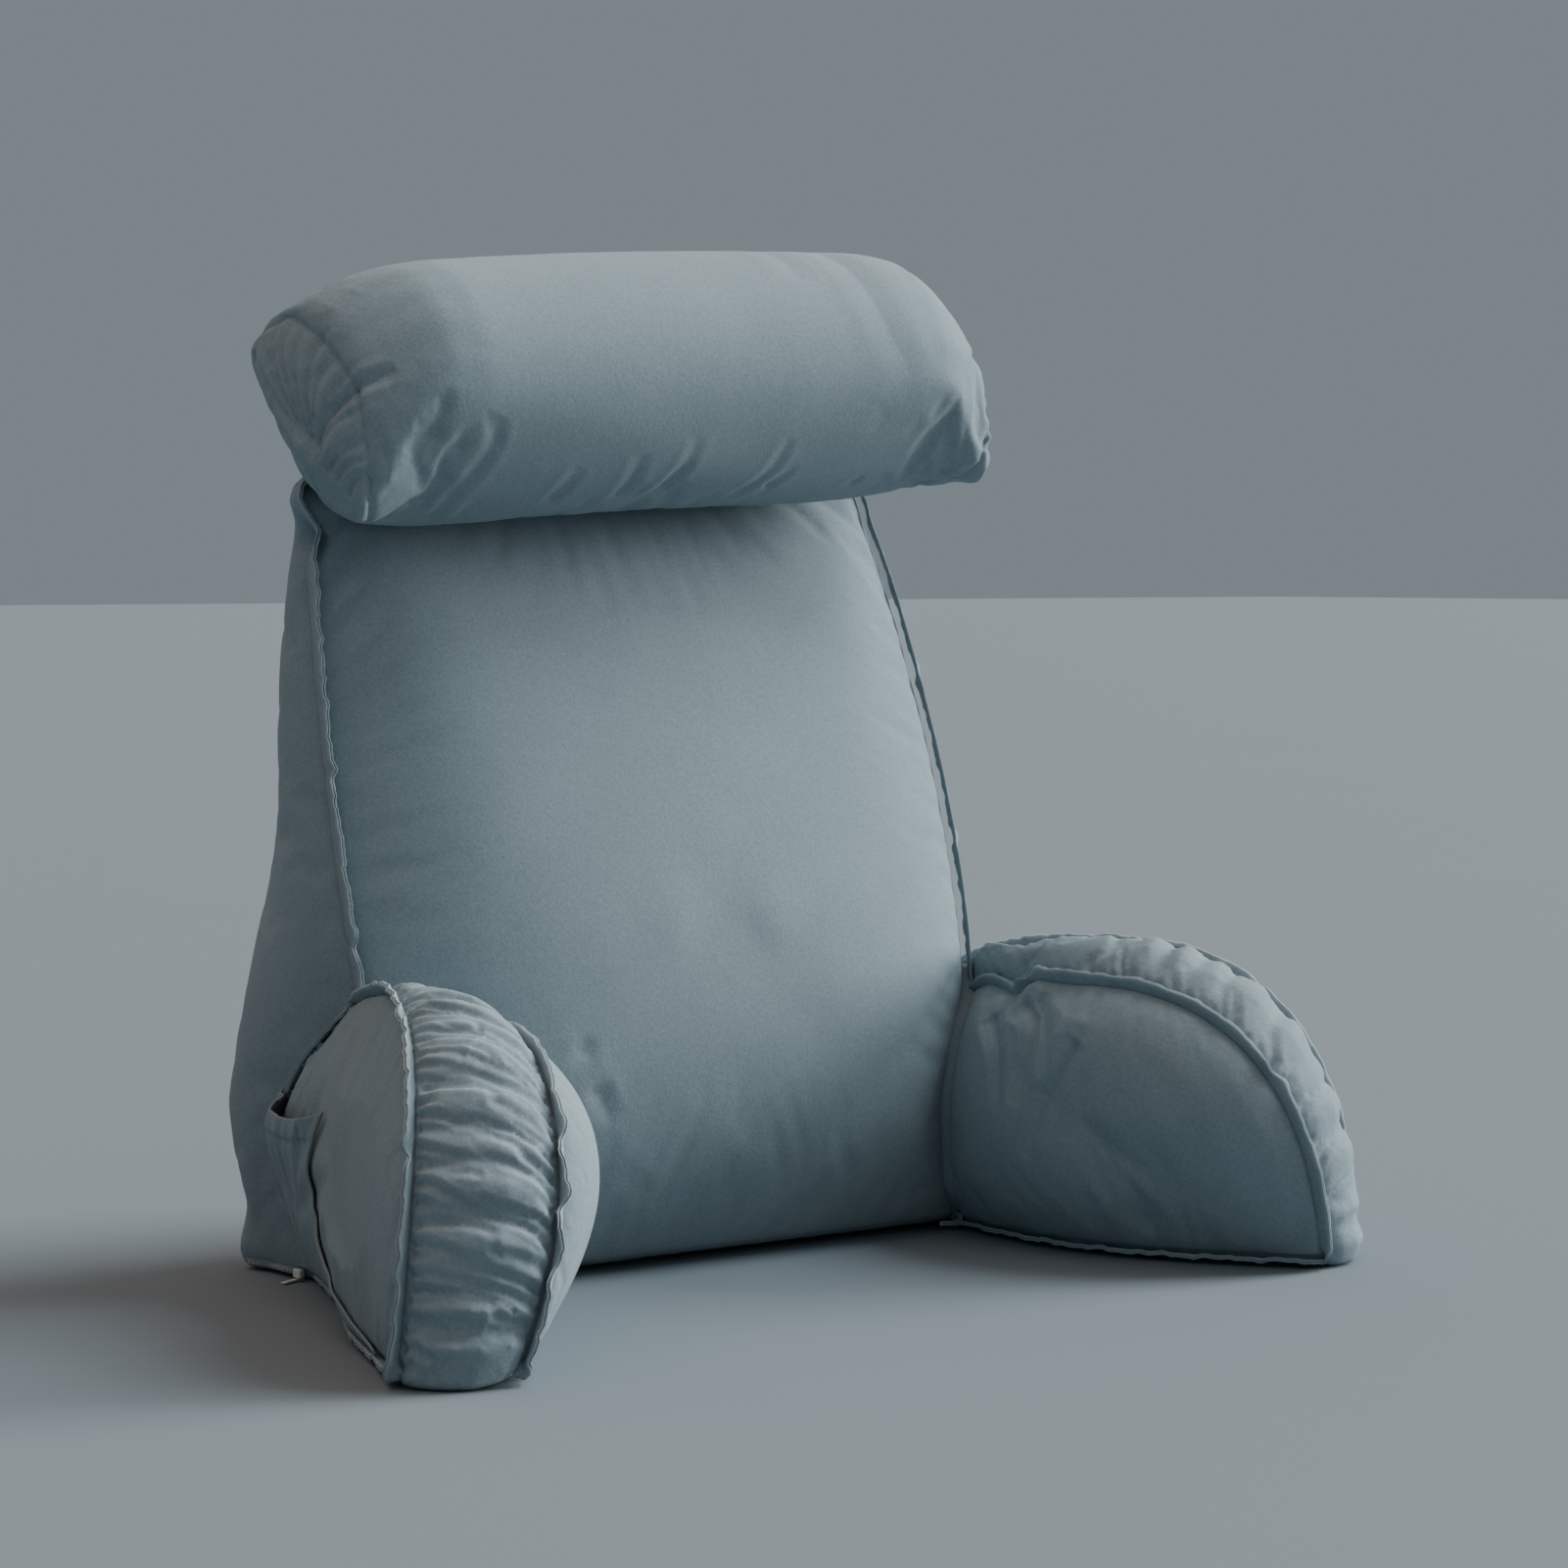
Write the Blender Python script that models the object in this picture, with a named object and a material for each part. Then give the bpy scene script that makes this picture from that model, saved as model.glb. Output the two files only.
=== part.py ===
"""Reading pillow: a wedge back, two splayed arms and a neck roll, in a washed cotton cover.

Lengths are in metres. X runs across the pillow, Y to its rear and Z up. The origin lies on
the ground, midway between the arms and near the middle of the back cushion's flat base.
A boxed cushion is drawn in its own plane: along, deep and up. Its two panels are rounded
outlines on a straight base line, a band joins them, and each panel's seam carries a raised
flange, which is the doubled edge of the cloth itself.
"""
import math
from typing import NamedTuple

import bmesh
import bpy
import numpy as np
from mathutils import Vector
from mathutils.bvhtree import BVHTree

MM = 0.001

# Sewing
GAP = 0.3 * MM              # air between two pieces that touch
WELD = 0.01 * MM
SEAM_LIFT = 5.5 * MM        # height of the base seam over the ground
FLANGE_HEIGHT = 6.5 * MM
FLANGE_THICKNESS = 3.2 * MM
FLANGE_LEAN = math.radians(35)  # towards the panel's own side
FLANGE_TAPER = 0.8              # thickness of the tip, as a share of the foot
BAND_INSET = 4.2 * MM           # from the seam to the band's own edge
BASE_FLANGE_HEIGHT = 4.5 * MM

# A panel's crown falls away towards its edges and then drops to its seam
CROWN_FALL = 0.62
CROWN_RIM = 6

# Back cushion
BACK_TOP = 527 * MM
BACK_CORNER = 26 * MM
BACK_TOP_ARCH = 5 * MM
BACK_FRONT_CROWN = 52 * MM
BACK_REAR_CROWN = 22 * MM
BACK_SIDE_BULGE = 12 * MM
BACK_HEART_HEIGHT = 235 * MM
BACK_SIDE_STATIONS = 15
BACK_CORNER_STATIONS = 5
BACK_TOP_STATIONS = 12
BACK_BASE_STATIONS = 12

# Arms
ARM_INNER_HEIGHT = 186 * MM
ARM_OUTER_HEIGHT = 206 * MM
ARM_INNER_CREST = 0.45      # share of the arm's length at which the inner seam is highest
ARM_OUTER_CREST = 0.36
ARM_INNER_REACH = 40 * MM   # how far each seam runs on behind the junction
ARM_OUTER_REACH = 164 * MM
ARM_REAR_LEAN = 24 * MM     # the inner panel's rear edge leans back with the back's seam
ARM_FRONT_ROUNDNESS = 2.45
ARM_INNER_REAR_ROUNDNESS = 4.0
ARM_OUTER_REAR_ROUNDNESS = 2.5
ARM_INNER_HEART = (0.44, -4 * MM, 98 * MM)  # share of the length, depth, height
ARM_OUTER_HEART = (0.18, 54 * MM, 88 * MM)
ARM_INNER_CROWN = 42 * MM
ARM_OUTER_CROWN = 23 * MM
ARM_BAND_BULGE = 15 * MM
ARM_NOTCH_AT = 42 * MM      # a pinch in the inner seam, close to the junction
ARM_NOTCH_WIDTH = 16 * MM
ARM_NOTCH_DEPTH = 12 * MM
ARM_GATHER_DEPTH = 4.2 * MM
ARM_GATHER_PITCH = 27 * MM
ARM_REAR_STATIONS = 12
ARM_FRONT_STATIONS = 54
ARM_BASE_STATIONS = 8

# Neck roll
ROLL_HALF_LENGTH = 262 * MM
ROLL_RADIUS = 80 * MM
ROLL_BARREL = 7 * MM        # added to the radius at the middle of the roll
ROLL_SHOULDER = 185 * MM    # distance from the middle at which the roll starts to draw in
ROLL_CENTRE = Vector((-8 * MM, 16 * MM, 587 * MM))
ROLL_RISE = 15 * MM         # the right end lies this much higher than the middle
ROLL_STATIONS = 44
END_HALF_LONG = 82 * MM
END_FRONT_ARC = 52 * MM     # the end seam is half-moon shaped: full in front, flat behind
END_REAR_ARC = 14 * MM
END_LEAN = math.radians(42)
END_CENTRE = (10 * MM, -24 * MM)
END_DOME = 14 * MM
END_PUCKERS = 18
END_PUCKER_DEPTH = 2.4 * MM

# Pocket on the left arm
POCKET_THICKNESS = 1.6 * MM
POCKET_CLEARANCE = 1.2 * MM
POCKET_GAPE = 17 * MM       # how far the mouth stands open
POCKET_DIP = 7 * MM         # how far the mouth sags between its ends
POCKET_SEWN_BELOW = 62 * MM
POCKET_COLUMNS = 14
POCKET_LEVELS = 12

# Zip in the left side's base seam
ZIP_REAR_Y = 118 * MM
ZIP_FRONT_Y = 62 * MM
ZIP_LOW = 2.5 * MM
ZIP_HIGH = 8 * MM
ZIP_THICKNESS = 1.4 * MM
ZIP_COLUMNS = 8
SLIDER_SIZE = (4.0 * MM, 9.0 * MM, 6.0 * MM)
PULL_SIZE = (15.0 * MM, 4.5 * MM, 1.2 * MM)
PULL_TURN = math.radians(24)
PULL_TUCK = 2 * MM          # the pull's near end lies this far under the slider

# A sheet is laid on a cushion by looking at it from this far outside
LOOK_FROM = 300 * MM


class BackRow(NamedTuple):
    """One level of the back cushion, in millimetres."""
    height: float
    front_half_width: float
    front_y: float
    rear_half_width: float
    rear_y: float


BACK_ROWS = (
    BackRow(height=0, front_half_width=225, front_y=-44, rear_half_width=248, rear_y=126),
    BackRow(height=105, front_half_width=243, front_y=-35, rear_half_width=258, rear_y=145),
    BackRow(height=196, front_half_width=254, front_y=-20, rear_half_width=252, rear_y=130),
    BackRow(height=290, front_half_width=256, front_y=3, rear_half_width=238, rear_y=113),
    BackRow(height=389, front_half_width=250, front_y=32, rear_half_width=233, rear_y=112),
    BackRow(height=458, front_half_width=242, front_y=54, rear_half_width=223, rear_y=109),
    BackRow(height=527, front_half_width=229, front_y=78, rear_half_width=207, rear_y=104),
)


class SeamRow(NamedTuple):
    """How deep an arm's seam lies, in millimetres, at one share of the arm's length."""
    share: float
    ground: float
    middle: float
    top: float


ARM_INNER_SEAM = (
    SeamRow(share=-0.6, ground=-4, middle=10, top=28),
    SeamRow(share=0.0, ground=-2, middle=8, top=20),
    SeamRow(share=0.4, ground=-12, middle=-8, top=-6),
    SeamRow(share=1.0, ground=11, middle=-14, top=-16),
)
ARM_OUTER_SEAM = (
    SeamRow(share=-0.6, ground=16, middle=42, top=24),
    SeamRow(share=0.0, ground=56, middle=46, top=32),
    SeamRow(share=0.4, ground=84, middle=62, top=56),
    SeamRow(share=1.0, ground=84, middle=75, top=72),
)


class ArmPlace(NamedTuple):
    """Where an arm leaves the back, and how it swings outwards along its length."""
    side: int
    root_x: float
    root_y: float
    rear_splay: float
    front_splay: float
    length: float


ARM_PLACES = {
    "left_arm": ArmPlace(side=-1, root_x=228 * MM, root_y=-50 * MM, rear_splay=10,
                         front_splay=30, length=296 * MM),
    "right_arm": ArmPlace(side=1, root_x=228 * MM, root_y=-50 * MM, rear_splay=-4,
                          front_splay=32, length=288 * MM),
}


class PocketRow(NamedTuple):
    """One level of the pocket and its two edges along the arm, in millimetres."""
    height: float
    rear: float
    front: float


POCKET_ROWS = (
    PocketRow(height=9, rear=-104, front=228),
    PocketRow(height=24, rear=-114, front=130),
    PocketRow(height=45, rear=-124, front=66),
    PocketRow(height=76, rear=-128, front=26),
    PocketRow(height=102, rear=-118, front=22),
    PocketRow(height=128, rear=-92, front=32),
)

# Finishes
CLOTH_COLOUR = (0.20, 0.26, 0.285, 1.0)
CLOTH_ROUGHNESS = 0.9
ZIP_COLOUR = (0.62, 0.64, 0.63, 1.0)
ZIP_ROUGHNESS = 0.45


def remove_scene_objects():
    for item in list(bpy.data.objects):
        bpy.data.objects.remove(item, do_unlink=True)


def plain_material(name, colour, roughness, metallic=0.0):
    material = bpy.data.materials.new(name)
    material.use_nodes = True
    shader = material.node_tree.nodes["Principled BSDF"]
    shader.inputs["Base Color"].default_value = colour
    shader.inputs["Roughness"].default_value = roughness
    shader.inputs["Metallic"].default_value = metallic
    return material


def smooth_step(value):
    value = np.clip(value, 0.0, 1.0)
    return value * value * (3.0 - 2.0 * value)


def read_table(rows, key, column, places):
    """Reads one column of a table at any place along its key, as a smooth curve."""
    levels = np.array([getattr(row, key) for row in rows], dtype=float)
    values = np.array([getattr(row, column) for row in rows], dtype=float)
    slopes = np.gradient(values, levels)
    places = np.clip(places, levels[0], levels[-1])
    index = np.clip(np.searchsorted(levels, places) - 1, 0, len(levels) - 2)
    span = levels[index + 1] - levels[index]
    part = (places - levels[index]) / span
    rise = values[index + 1] - values[index]
    start = slopes[index] * span - rise
    finish = rise - slopes[index + 1] * span
    bend = part * (1 - part) * (start * (1 - part) + finish * part)
    return values[index] + part * rise + bend


def back_profile(column, heights):
    return read_table(BACK_ROWS, "height", column, np.asarray(heights) / MM) * MM


def back_outline(width_column, depth_column):
    """The seam of one back panel: up the right side, over the top, down, and along the base."""
    straight_top = BACK_TOP - BACK_CORNER
    heights = np.linspace(SEAM_LIFT, straight_top, BACK_SIDE_STATIONS)
    turns = np.linspace(0, math.pi / 2, BACK_CORNER_STATIONS + 1)[1:]
    shoulder = back_profile(width_column, straight_top) - BACK_CORNER
    side = [(back_profile(width_column, height), height) for height in heights]
    side += [(shoulder + BACK_CORNER * math.cos(turn), straight_top + BACK_CORNER * math.sin(turn))
             for turn in turns]
    top = [(x, BACK_TOP + BACK_TOP_ARCH * (1 - (x / shoulder) ** 2))
           for x in np.linspace(shoulder, -shoulder, BACK_TOP_STATIONS + 1)[1:-1]]
    far_side = [(-x, z) for x, z in reversed(side)]
    foot = side[0][0]
    base = [(x, SEAM_LIFT) for x in np.linspace(-foot, foot, BACK_BASE_STATIONS + 1)[1:-1]]
    flat = np.array(side + top + far_side + base, dtype=float)
    depth = back_profile(depth_column, np.minimum(flat[:, 1], BACK_TOP))
    is_base = np.zeros(len(flat), dtype=bool)
    is_base[len(flat) - len(base):] = True
    return np.column_stack([flat[:, 0], depth, flat[:, 1]]), is_base


def outward_of(seam, is_base):
    """Unit vectors that point out of the outline in its own plane, and level along the base."""
    step = np.roll(seam, -1, axis=0) - np.roll(seam, 1, axis=0)
    outward = np.column_stack([step[:, 2], np.zeros(len(seam)), -step[:, 0]])
    centre = seam.mean(axis=0)
    if np.sum(outward * (seam - centre)) < 0:
        outward = -outward
    low = seam[:, 2] < 2 * SEAM_LIFT
    outward[low, 2] = np.maximum(outward[low, 2], 0)
    outward /= np.maximum(np.linalg.norm(outward, axis=1), 1e-9)[:, None]
    outward[is_base] = 0
    return outward


def panel_rings(seam, heart, face, crown, shares):
    """Rings that grow from near the panel's heart to its seam, and rise to a round crown."""
    reach = seam - heart
    across = reach[:, 0] / np.abs(reach[:, 0]).max()
    upward = reach[:, 2] / np.abs(reach[:, 2]).max()
    rings = []
    for share in shares:
        fall = (1 - CROWN_FALL * (share * across) ** 2) * (1 - CROWN_FALL * (share * upward) ** 2)
        ring = heart + reach * share
        ring[:, 1] += face * crown * fall * (1 - share ** CROWN_RIM)
        rings.append(ring)
    return rings


def mitred(one_way, other_way):
    """Unit vectors halfway between two directions, where a flange turns a corner."""
    halfway = one_way + other_way
    return halfway / np.linalg.norm(halfway, axis=1)[:, None]


def flange_rings(seam, outward, is_base, face, reach):
    """Foot, two tips and foot of the raised flange that stands on a panel's seam."""
    facing = np.zeros_like(seam)
    facing[:, 1] = face
    down = np.array([0, 0, -1.0])
    out, aside = math.cos(FLANGE_LEAN), math.sin(FLANGE_LEAN)
    lean = np.where(is_base[:, None], facing, out * outward + aside * facing)
    across = np.where(is_base[:, None], down, aside * outward - out * facing)
    corner = ~is_base & (np.roll(is_base, 1) | np.roll(is_base, -1))
    lean[corner] = mitred(lean[corner], facing[corner])
    across[corner] = mitred(across[corner], down)
    half = FLANGE_THICKNESS / 2
    height = np.where(is_base, BASE_FLANGE_HEIGHT, reach)[:, None]
    half_tip = FLANGE_TAPER * half
    return [
        seam - across * half,
        seam - across * half_tip + lean * height,
        seam + across * half_tip + lean * height,
        seam + across * half,
    ]


def band_edge(seam, is_base, face):
    """The band's own edge, a little inside the flange, which stands on the ground."""
    edge = seam.copy()
    edge[:, 1] -= face * BAND_INSET
    low = seam[:, 2] < 1.5 * SEAM_LIFT
    edge[is_base | low, 2] = 0
    return edge


def skin(name, rings, material, place=None):
    """Wraps a grid over closed rings, domes both ends shut and makes it an object."""
    shape = bmesh.new()
    stations = len(rings[0])
    grid = bmesh.ops.create_grid(shape, x_segments=stations, y_segments=len(rings) - 1, size=1)
    for index, vert in enumerate(grid["verts"]):
        row, column = divmod(index, stations + 1)
        point = Vector(rings[row][column % stations])
        vert.co = place(point) if place else point
    bmesh.ops.remove_doubles(shape, verts=shape.verts, dist=WELD)
    rims = [edge for edge in shape.edges if edge.is_boundary]
    lids = bmesh.ops.holes_fill(shape, edges=rims, sides=0)["faces"]
    bmesh.ops.poke(shape, faces=lids, center_mode="MEAN")
    bmesh.ops.triangulate(shape, faces=shape.faces)
    bmesh.ops.recalc_face_normals(shape, faces=shape.faces)
    mesh = bpy.data.meshes.new(name)
    shape.to_mesh(mesh)
    shape.free()
    mesh.shade_smooth()
    mesh.materials.append(material)
    item = bpy.data.objects.new(name, mesh)
    bpy.context.collection.objects.link(item)
    return item


def back_cushion(material):
    front, is_base = back_outline("front_half_width", "front_y")
    rear, _ = back_outline("rear_half_width", "rear_y")
    outward = outward_of(front, is_base)
    front_heart = np.array([0, back_profile("front_y", BACK_HEART_HEIGHT), BACK_HEART_HEIGHT])
    rear_heart = np.array([0, back_profile("rear_y", BACK_HEART_HEIGHT), BACK_HEART_HEIGHT])
    rings = panel_rings(front, front_heart, -1, BACK_FRONT_CROWN,
                        (0.16, 0.36, 0.54, 0.70, 0.83, 0.93))
    rings += flange_rings(front, outward, is_base, -1, FLANGE_HEIGHT)
    near = band_edge(front, is_base, -1)
    far = band_edge(rear, is_base, 1)
    for share in (0.0, 0.2, 0.45, 0.7, 0.9, 1.0):
        bulge = BACK_SIDE_BULGE * 4 * share * (1 - share)
        rings.append(near + (far - near) * share + outward * bulge)
    rings += panel_rings(rear, rear_heart, 1, BACK_REAR_CROWN,
                         (0.97, 0.88, 0.72, 0.5, 0.24))
    return skin("back_cushion", rings, material)


def arm_outline(length, height, crest_share, reach, rear_power):
    """An arm panel's outline: up its rear edge, over the crest, down the front, and back."""
    crest = length * crest_share
    rise = height - SEAM_LIFT
    points = []
    for turn in np.linspace(0, math.pi / 2, ARM_REAR_STATIONS, endpoint=False):
        power = 2 / rear_power
        along = crest - math.cos(turn) ** power * (crest + reach)
        points.append((along, SEAM_LIFT + rise * math.sin(turn) ** power))
    for turn in np.linspace(0, math.pi / 2, ARM_FRONT_STATIONS):
        power = 2 / ARM_FRONT_ROUNDNESS
        along = crest + math.sin(turn) ** power * (length - crest)
        points.append((along, SEAM_LIFT + rise * abs(math.cos(turn)) ** power))
    base = np.linspace(length, -reach, ARM_BASE_STATIONS + 1)[1:-1]
    points += [(along, SEAM_LIFT) for along in base]
    is_base = np.zeros(len(points), dtype=bool)
    is_base[len(points) - len(base):] = True
    return np.array(points), is_base


def arm_seam(flat, rows, length, height):
    """Gives a flat outline its depth, from the table of one seam."""
    share = flat[:, 0] / length
    level = (flat[:, 1] - SEAM_LIFT) / height
    ground = read_table(rows, "share", "ground", share)
    middle = read_table(rows, "share", "middle", share)
    top = read_table(rows, "share", "top", share)
    low = (1 - level) * (1 - 2 * level)
    high = level * (2 * level - 1)
    depth = ground * low + middle * 4 * level * (1 - level) + top * high
    return np.column_stack([flat[:, 0], depth * MM, flat[:, 1]])


def gathers(seam, is_base):
    """Uneven gathers along the seam, from -1 to 1."""
    step = np.linalg.norm(np.diff(seam, axis=0, prepend=seam[:1]), axis=1)
    run = np.cumsum(step) / ARM_GATHER_PITCH
    wave = np.sin(2 * math.pi * run + 1.3 * np.sin(1.7 * run) + 0.6 * np.sin(4.1 * run))
    wave *= 0.7 + 0.3 * np.sin(2.3 * run + 0.8)
    wave[is_base] = 0
    return wave


def arm_placer(place):
    """Turns (along, deep, up) in an arm's own plane into a place on the pillow."""
    bend = math.radians(place.front_splay - place.rear_splay) / place.length
    start = math.radians(place.rear_splay)

    def put(point):
        along, deep, up = point
        ahead = max(along, 0.0)
        angle = start + bend * ahead
        middle = start + bend * ahead / 2
        run_x = ahead * math.sin(middle) + min(along, 0.0) * math.sin(start)
        run_y = ahead * math.cos(middle) + min(along, 0.0) * math.cos(start)
        x = place.root_x + run_x + deep * math.cos(angle)
        y = place.root_y - run_y + deep * math.sin(angle)
        return Vector((place.side * x, y, up))

    return put


def arm_cushion(name, place, material):
    flat, is_base = arm_outline(place.length, ARM_INNER_HEIGHT, ARM_INNER_CREST,
                                ARM_INNER_REACH, ARM_INNER_REAR_ROUNDNESS)
    pinch = np.exp(-((flat[:, 0] - ARM_NOTCH_AT) / ARM_NOTCH_WIDTH) ** 2) * ~is_base
    flat[:, 1] -= ARM_NOTCH_DEPTH * pinch
    follow = smooth_step(-flat[:, 0] / ARM_INNER_REACH + 1)
    flat[:, 0] -= ARM_REAR_LEAN * follow * flat[:, 1] / ARM_INNER_HEIGHT
    inner = arm_seam(flat, ARM_INNER_SEAM, place.length, ARM_INNER_HEIGHT)
    flat, _ = arm_outline(place.length, ARM_OUTER_HEIGHT, ARM_OUTER_CREST,
                          ARM_OUTER_REACH, ARM_OUTER_REAR_ROUNDNESS)
    outer = arm_seam(flat, ARM_OUTER_SEAM, place.length, ARM_OUTER_HEIGHT)
    outward = outward_of(inner, is_base)
    wave = gathers(inner, is_base)[:, None]
    inner_heart = np.array([place.length * ARM_INNER_HEART[0], *ARM_INNER_HEART[1:]])
    outer_heart = np.array([place.length * ARM_OUTER_HEART[0], *ARM_OUTER_HEART[1:]])
    rings = panel_rings(inner, inner_heart, -1, ARM_INNER_CROWN,
                        (0.25, 0.5, 0.7, 0.86, 0.95))
    rings += flange_rings(inner, outward, is_base, -1, FLANGE_HEIGHT)
    near = band_edge(inner, is_base, -1)
    far = band_edge(outer, is_base, 1)
    for share in (0.0, 0.13, 0.37, 0.63, 0.87, 1.0):
        swell = 4 * share * (1 - share)
        depth = ARM_BAND_BULGE * swell ** 0.8 + ARM_GATHER_DEPTH * wave * swell ** 0.5
        rings.append(near + (far - near) * share + outward * depth)
    rings += flange_rings(outer, outward_of(outer, is_base), is_base, 1, FLANGE_HEIGHT)[::-1]
    rings += panel_rings(outer, outer_heart, 1, ARM_OUTER_CROWN,
                         (0.95, 0.86, 0.7, 0.5, 0.25))
    return skin(name, rings, material, arm_placer(place))


def roll_ring(distance, radius_share, end_share, pucker):
    """One closed section of the roll, blended from a round body to a lens-shaped end."""
    turns = np.linspace(0, 2 * math.pi, ROLL_STATIONS, endpoint=False)
    radius = ROLL_RADIUS + ROLL_BARREL * (1 - (distance / ROLL_HALF_LENGTH) ** 2)
    body = np.column_stack([np.cos(turns), np.sin(turns)]) * radius
    swing = turns - END_LEAN
    long_way = np.cos(swing) * END_HALF_LONG
    short_way = np.sin(swing) * np.where(np.sin(swing) > 0, END_FRONT_ARC, END_REAR_ARC)
    lens = np.column_stack([
        long_way * math.cos(END_LEAN) - short_way * math.sin(END_LEAN) + END_CENTRE[0],
        long_way * math.sin(END_LEAN) + short_way * math.cos(END_LEAN) + END_CENTRE[1],
    ])
    section = body * (1 - end_share) + lens * end_share
    middle = section.mean(axis=0)
    ripple = 1 + pucker * np.sin(END_PUCKERS * turns + 0.9 * np.sin(3 * turns))
    section = middle + (section - middle) * radius_share * ripple[:, None]
    lift = ROLL_RISE * distance / ROLL_HALF_LENGTH
    return np.column_stack([
        np.full(ROLL_STATIONS, ROLL_CENTRE.x + distance),
        ROLL_CENTRE.y + section[:, 0],
        ROLL_CENTRE.z + section[:, 1] + lift,
    ])


def end_blend(share):
    """How far the roll has changed to its end's shape, from its shoulder to the end seam."""
    return 0.75 * share ** 1.5 + 0.25 * (1 - math.sqrt(1 - share ** 2.2))


def neck_roll(material):
    depth = END_PUCKER_DEPTH / END_FRONT_ARC
    half = []
    for share in (0.0, 0.35, 0.7, 0.95):
        half.append(roll_ring(ROLL_SHOULDER * share, 1.0, 0.0, 0.0))
    draw = ROLL_HALF_LENGTH - ROLL_SHOULDER
    for share in (0.2, 0.4, 0.6, 0.78, 0.92, 1.0):
        half.append(roll_ring(ROLL_SHOULDER + draw * share, 1.0, end_blend(share), depth * share))
    for share in (0.93, 0.75, 0.5, 0.25):
        dome = END_DOME * (1 - share ** 2)
        half.append(roll_ring(ROLL_HALF_LENGTH + dome, share, 1.0, depth * share))
    mirrored = [roll_mirror(ring) for ring in reversed(half[1:])]
    return skin("neck_roll", mirrored + half, material)


def roll_mirror(ring):
    """The same section at the other end of the roll, where the roll lies lower."""
    distance = ring[:, 0] - ROLL_CENTRE.x
    lift = ROLL_RISE * distance / ROLL_HALF_LENGTH
    copy = ring.copy()
    copy[:, 0] = ROLL_CENTRE.x - distance
    copy[:, 2] -= 2 * lift
    return copy


def surface_of(item):
    """The cushion's own skin, before any cut, for laying sheets on it."""
    corners = [vert.co.copy() for vert in item.data.vertices]
    faces = [tuple(face.vertices) for face in item.data.polygons]
    return BVHTree.FromPolygons(corners, faces)


def laid_sheet(name, columns, levels, place, thickness, material):
    """A cloth sheet, from a grid whose corners place(across, up) lays on a cushion."""
    shape = bmesh.new()
    grid = bmesh.ops.create_grid(shape, x_segments=columns, y_segments=levels, size=1)
    for index, vert in enumerate(grid["verts"]):
        level, column = divmod(index, columns + 1)
        vert.co = place(column / columns, level / levels)
    shape.normal_update()
    mesh = bpy.data.meshes.new(name)
    shape.to_mesh(mesh)
    shape.free()
    mesh.shade_smooth()
    mesh.materials.append(material)
    item = bpy.data.objects.new(name, mesh)
    bpy.context.collection.objects.link(item)
    solid = item.modifiers.new("thickness", "SOLIDIFY")
    solid.thickness = thickness
    solid.offset = 1
    return item


def rests_on(surface, outside, inside, lift):
    """The point on a surface between two places, lifted off it towards the first."""
    way = (inside - outside).normalized()
    found = surface.ray_cast(outside, way)[0]
    return found - way * lift


def arm_pocket(arm, place, material):
    put = arm_placer(place)
    surface = surface_of(arm)
    low, high = POCKET_ROWS[0].height * MM, POCKET_ROWS[-1].height * MM

    def lay(across, up):
        level = low + (high - low) * up
        rear = read_table(POCKET_ROWS, "height", "rear", level / MM) * MM
        front = read_table(POCKET_ROWS, "height", "front", level / MM) * MM
        along = rear + (front - rear) * across
        arch = 4 * across * (1 - across)
        height = level - POCKET_DIP * arch * up ** 4
        opened = smooth_step((level - POCKET_SEWN_BELOW) / (high - POCKET_SEWN_BELOW))
        lift = POCKET_CLEARANCE + POCKET_GAPE * opened * arch ** 0.8
        return rests_on(surface, put((along, LOOK_FROM, height)), put((along, 0, height)), lift)

    return laid_sheet("arm_pocket", POCKET_COLUMNS, POCKET_LEVELS, lay, POCKET_THICKNESS,
                      material)


def bevelled_block(name, size, centre, turn, bevel, material):
    shape = bmesh.new()
    bmesh.ops.create_cube(shape, size=1)
    bmesh.ops.scale(shape, vec=Vector(size), verts=shape.verts)
    bmesh.ops.bevel(shape, geom=shape.edges[:], offset=bevel, offset_type="OFFSET",
                    affect="EDGES", segments=2, profile=0.5, material=-1)
    mesh = bpy.data.meshes.new(name)
    shape.to_mesh(mesh)
    shape.free()
    mesh.shade_smooth()
    mesh.materials.append(material)
    item = bpy.data.objects.new(name, mesh)
    item.location = centre
    item.rotation_euler = (0, 0, turn)
    bpy.context.collection.objects.link(item)
    return item


def zip_pieces(back, material):
    """The zip's closed teeth, its slider and its pull, at the foot of the left side."""
    surface = surface_of(back)

    def lay(across, up):
        y = ZIP_REAR_Y + (ZIP_FRONT_Y - ZIP_REAR_Y) * across
        z = ZIP_LOW + (ZIP_HIGH - ZIP_LOW) * up
        return rests_on(surface, Vector((-LOOK_FROM, y, z)), Vector((0, y, z)), 1.5 * GAP)

    laid_sheet("zip_teeth", ZIP_COLUMNS, 1, lay, ZIP_THICKNESS, material)
    end = lay(1.0, 0.5)
    out = SLIDER_SIZE[0] / 2
    slider_at = end + Vector((-out, -SLIDER_SIZE[1] / 2 - GAP, 0))
    bevelled_block("zip_slider", SLIDER_SIZE, slider_at, 0, 1.0 * MM, material)
    half_pull = (PULL_SIZE[0] * math.cos(PULL_TURN) + PULL_SIZE[1] * math.sin(PULL_TURN)) / 2
    pull_x = slider_at.x - out - half_pull + PULL_TUCK
    pull_at = Vector((pull_x, slider_at.y - PULL_TUCK, PULL_SIZE[2]))
    bevelled_block("zip_pull", PULL_SIZE, pull_at, PULL_TURN, 0.4 * MM, material)


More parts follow.
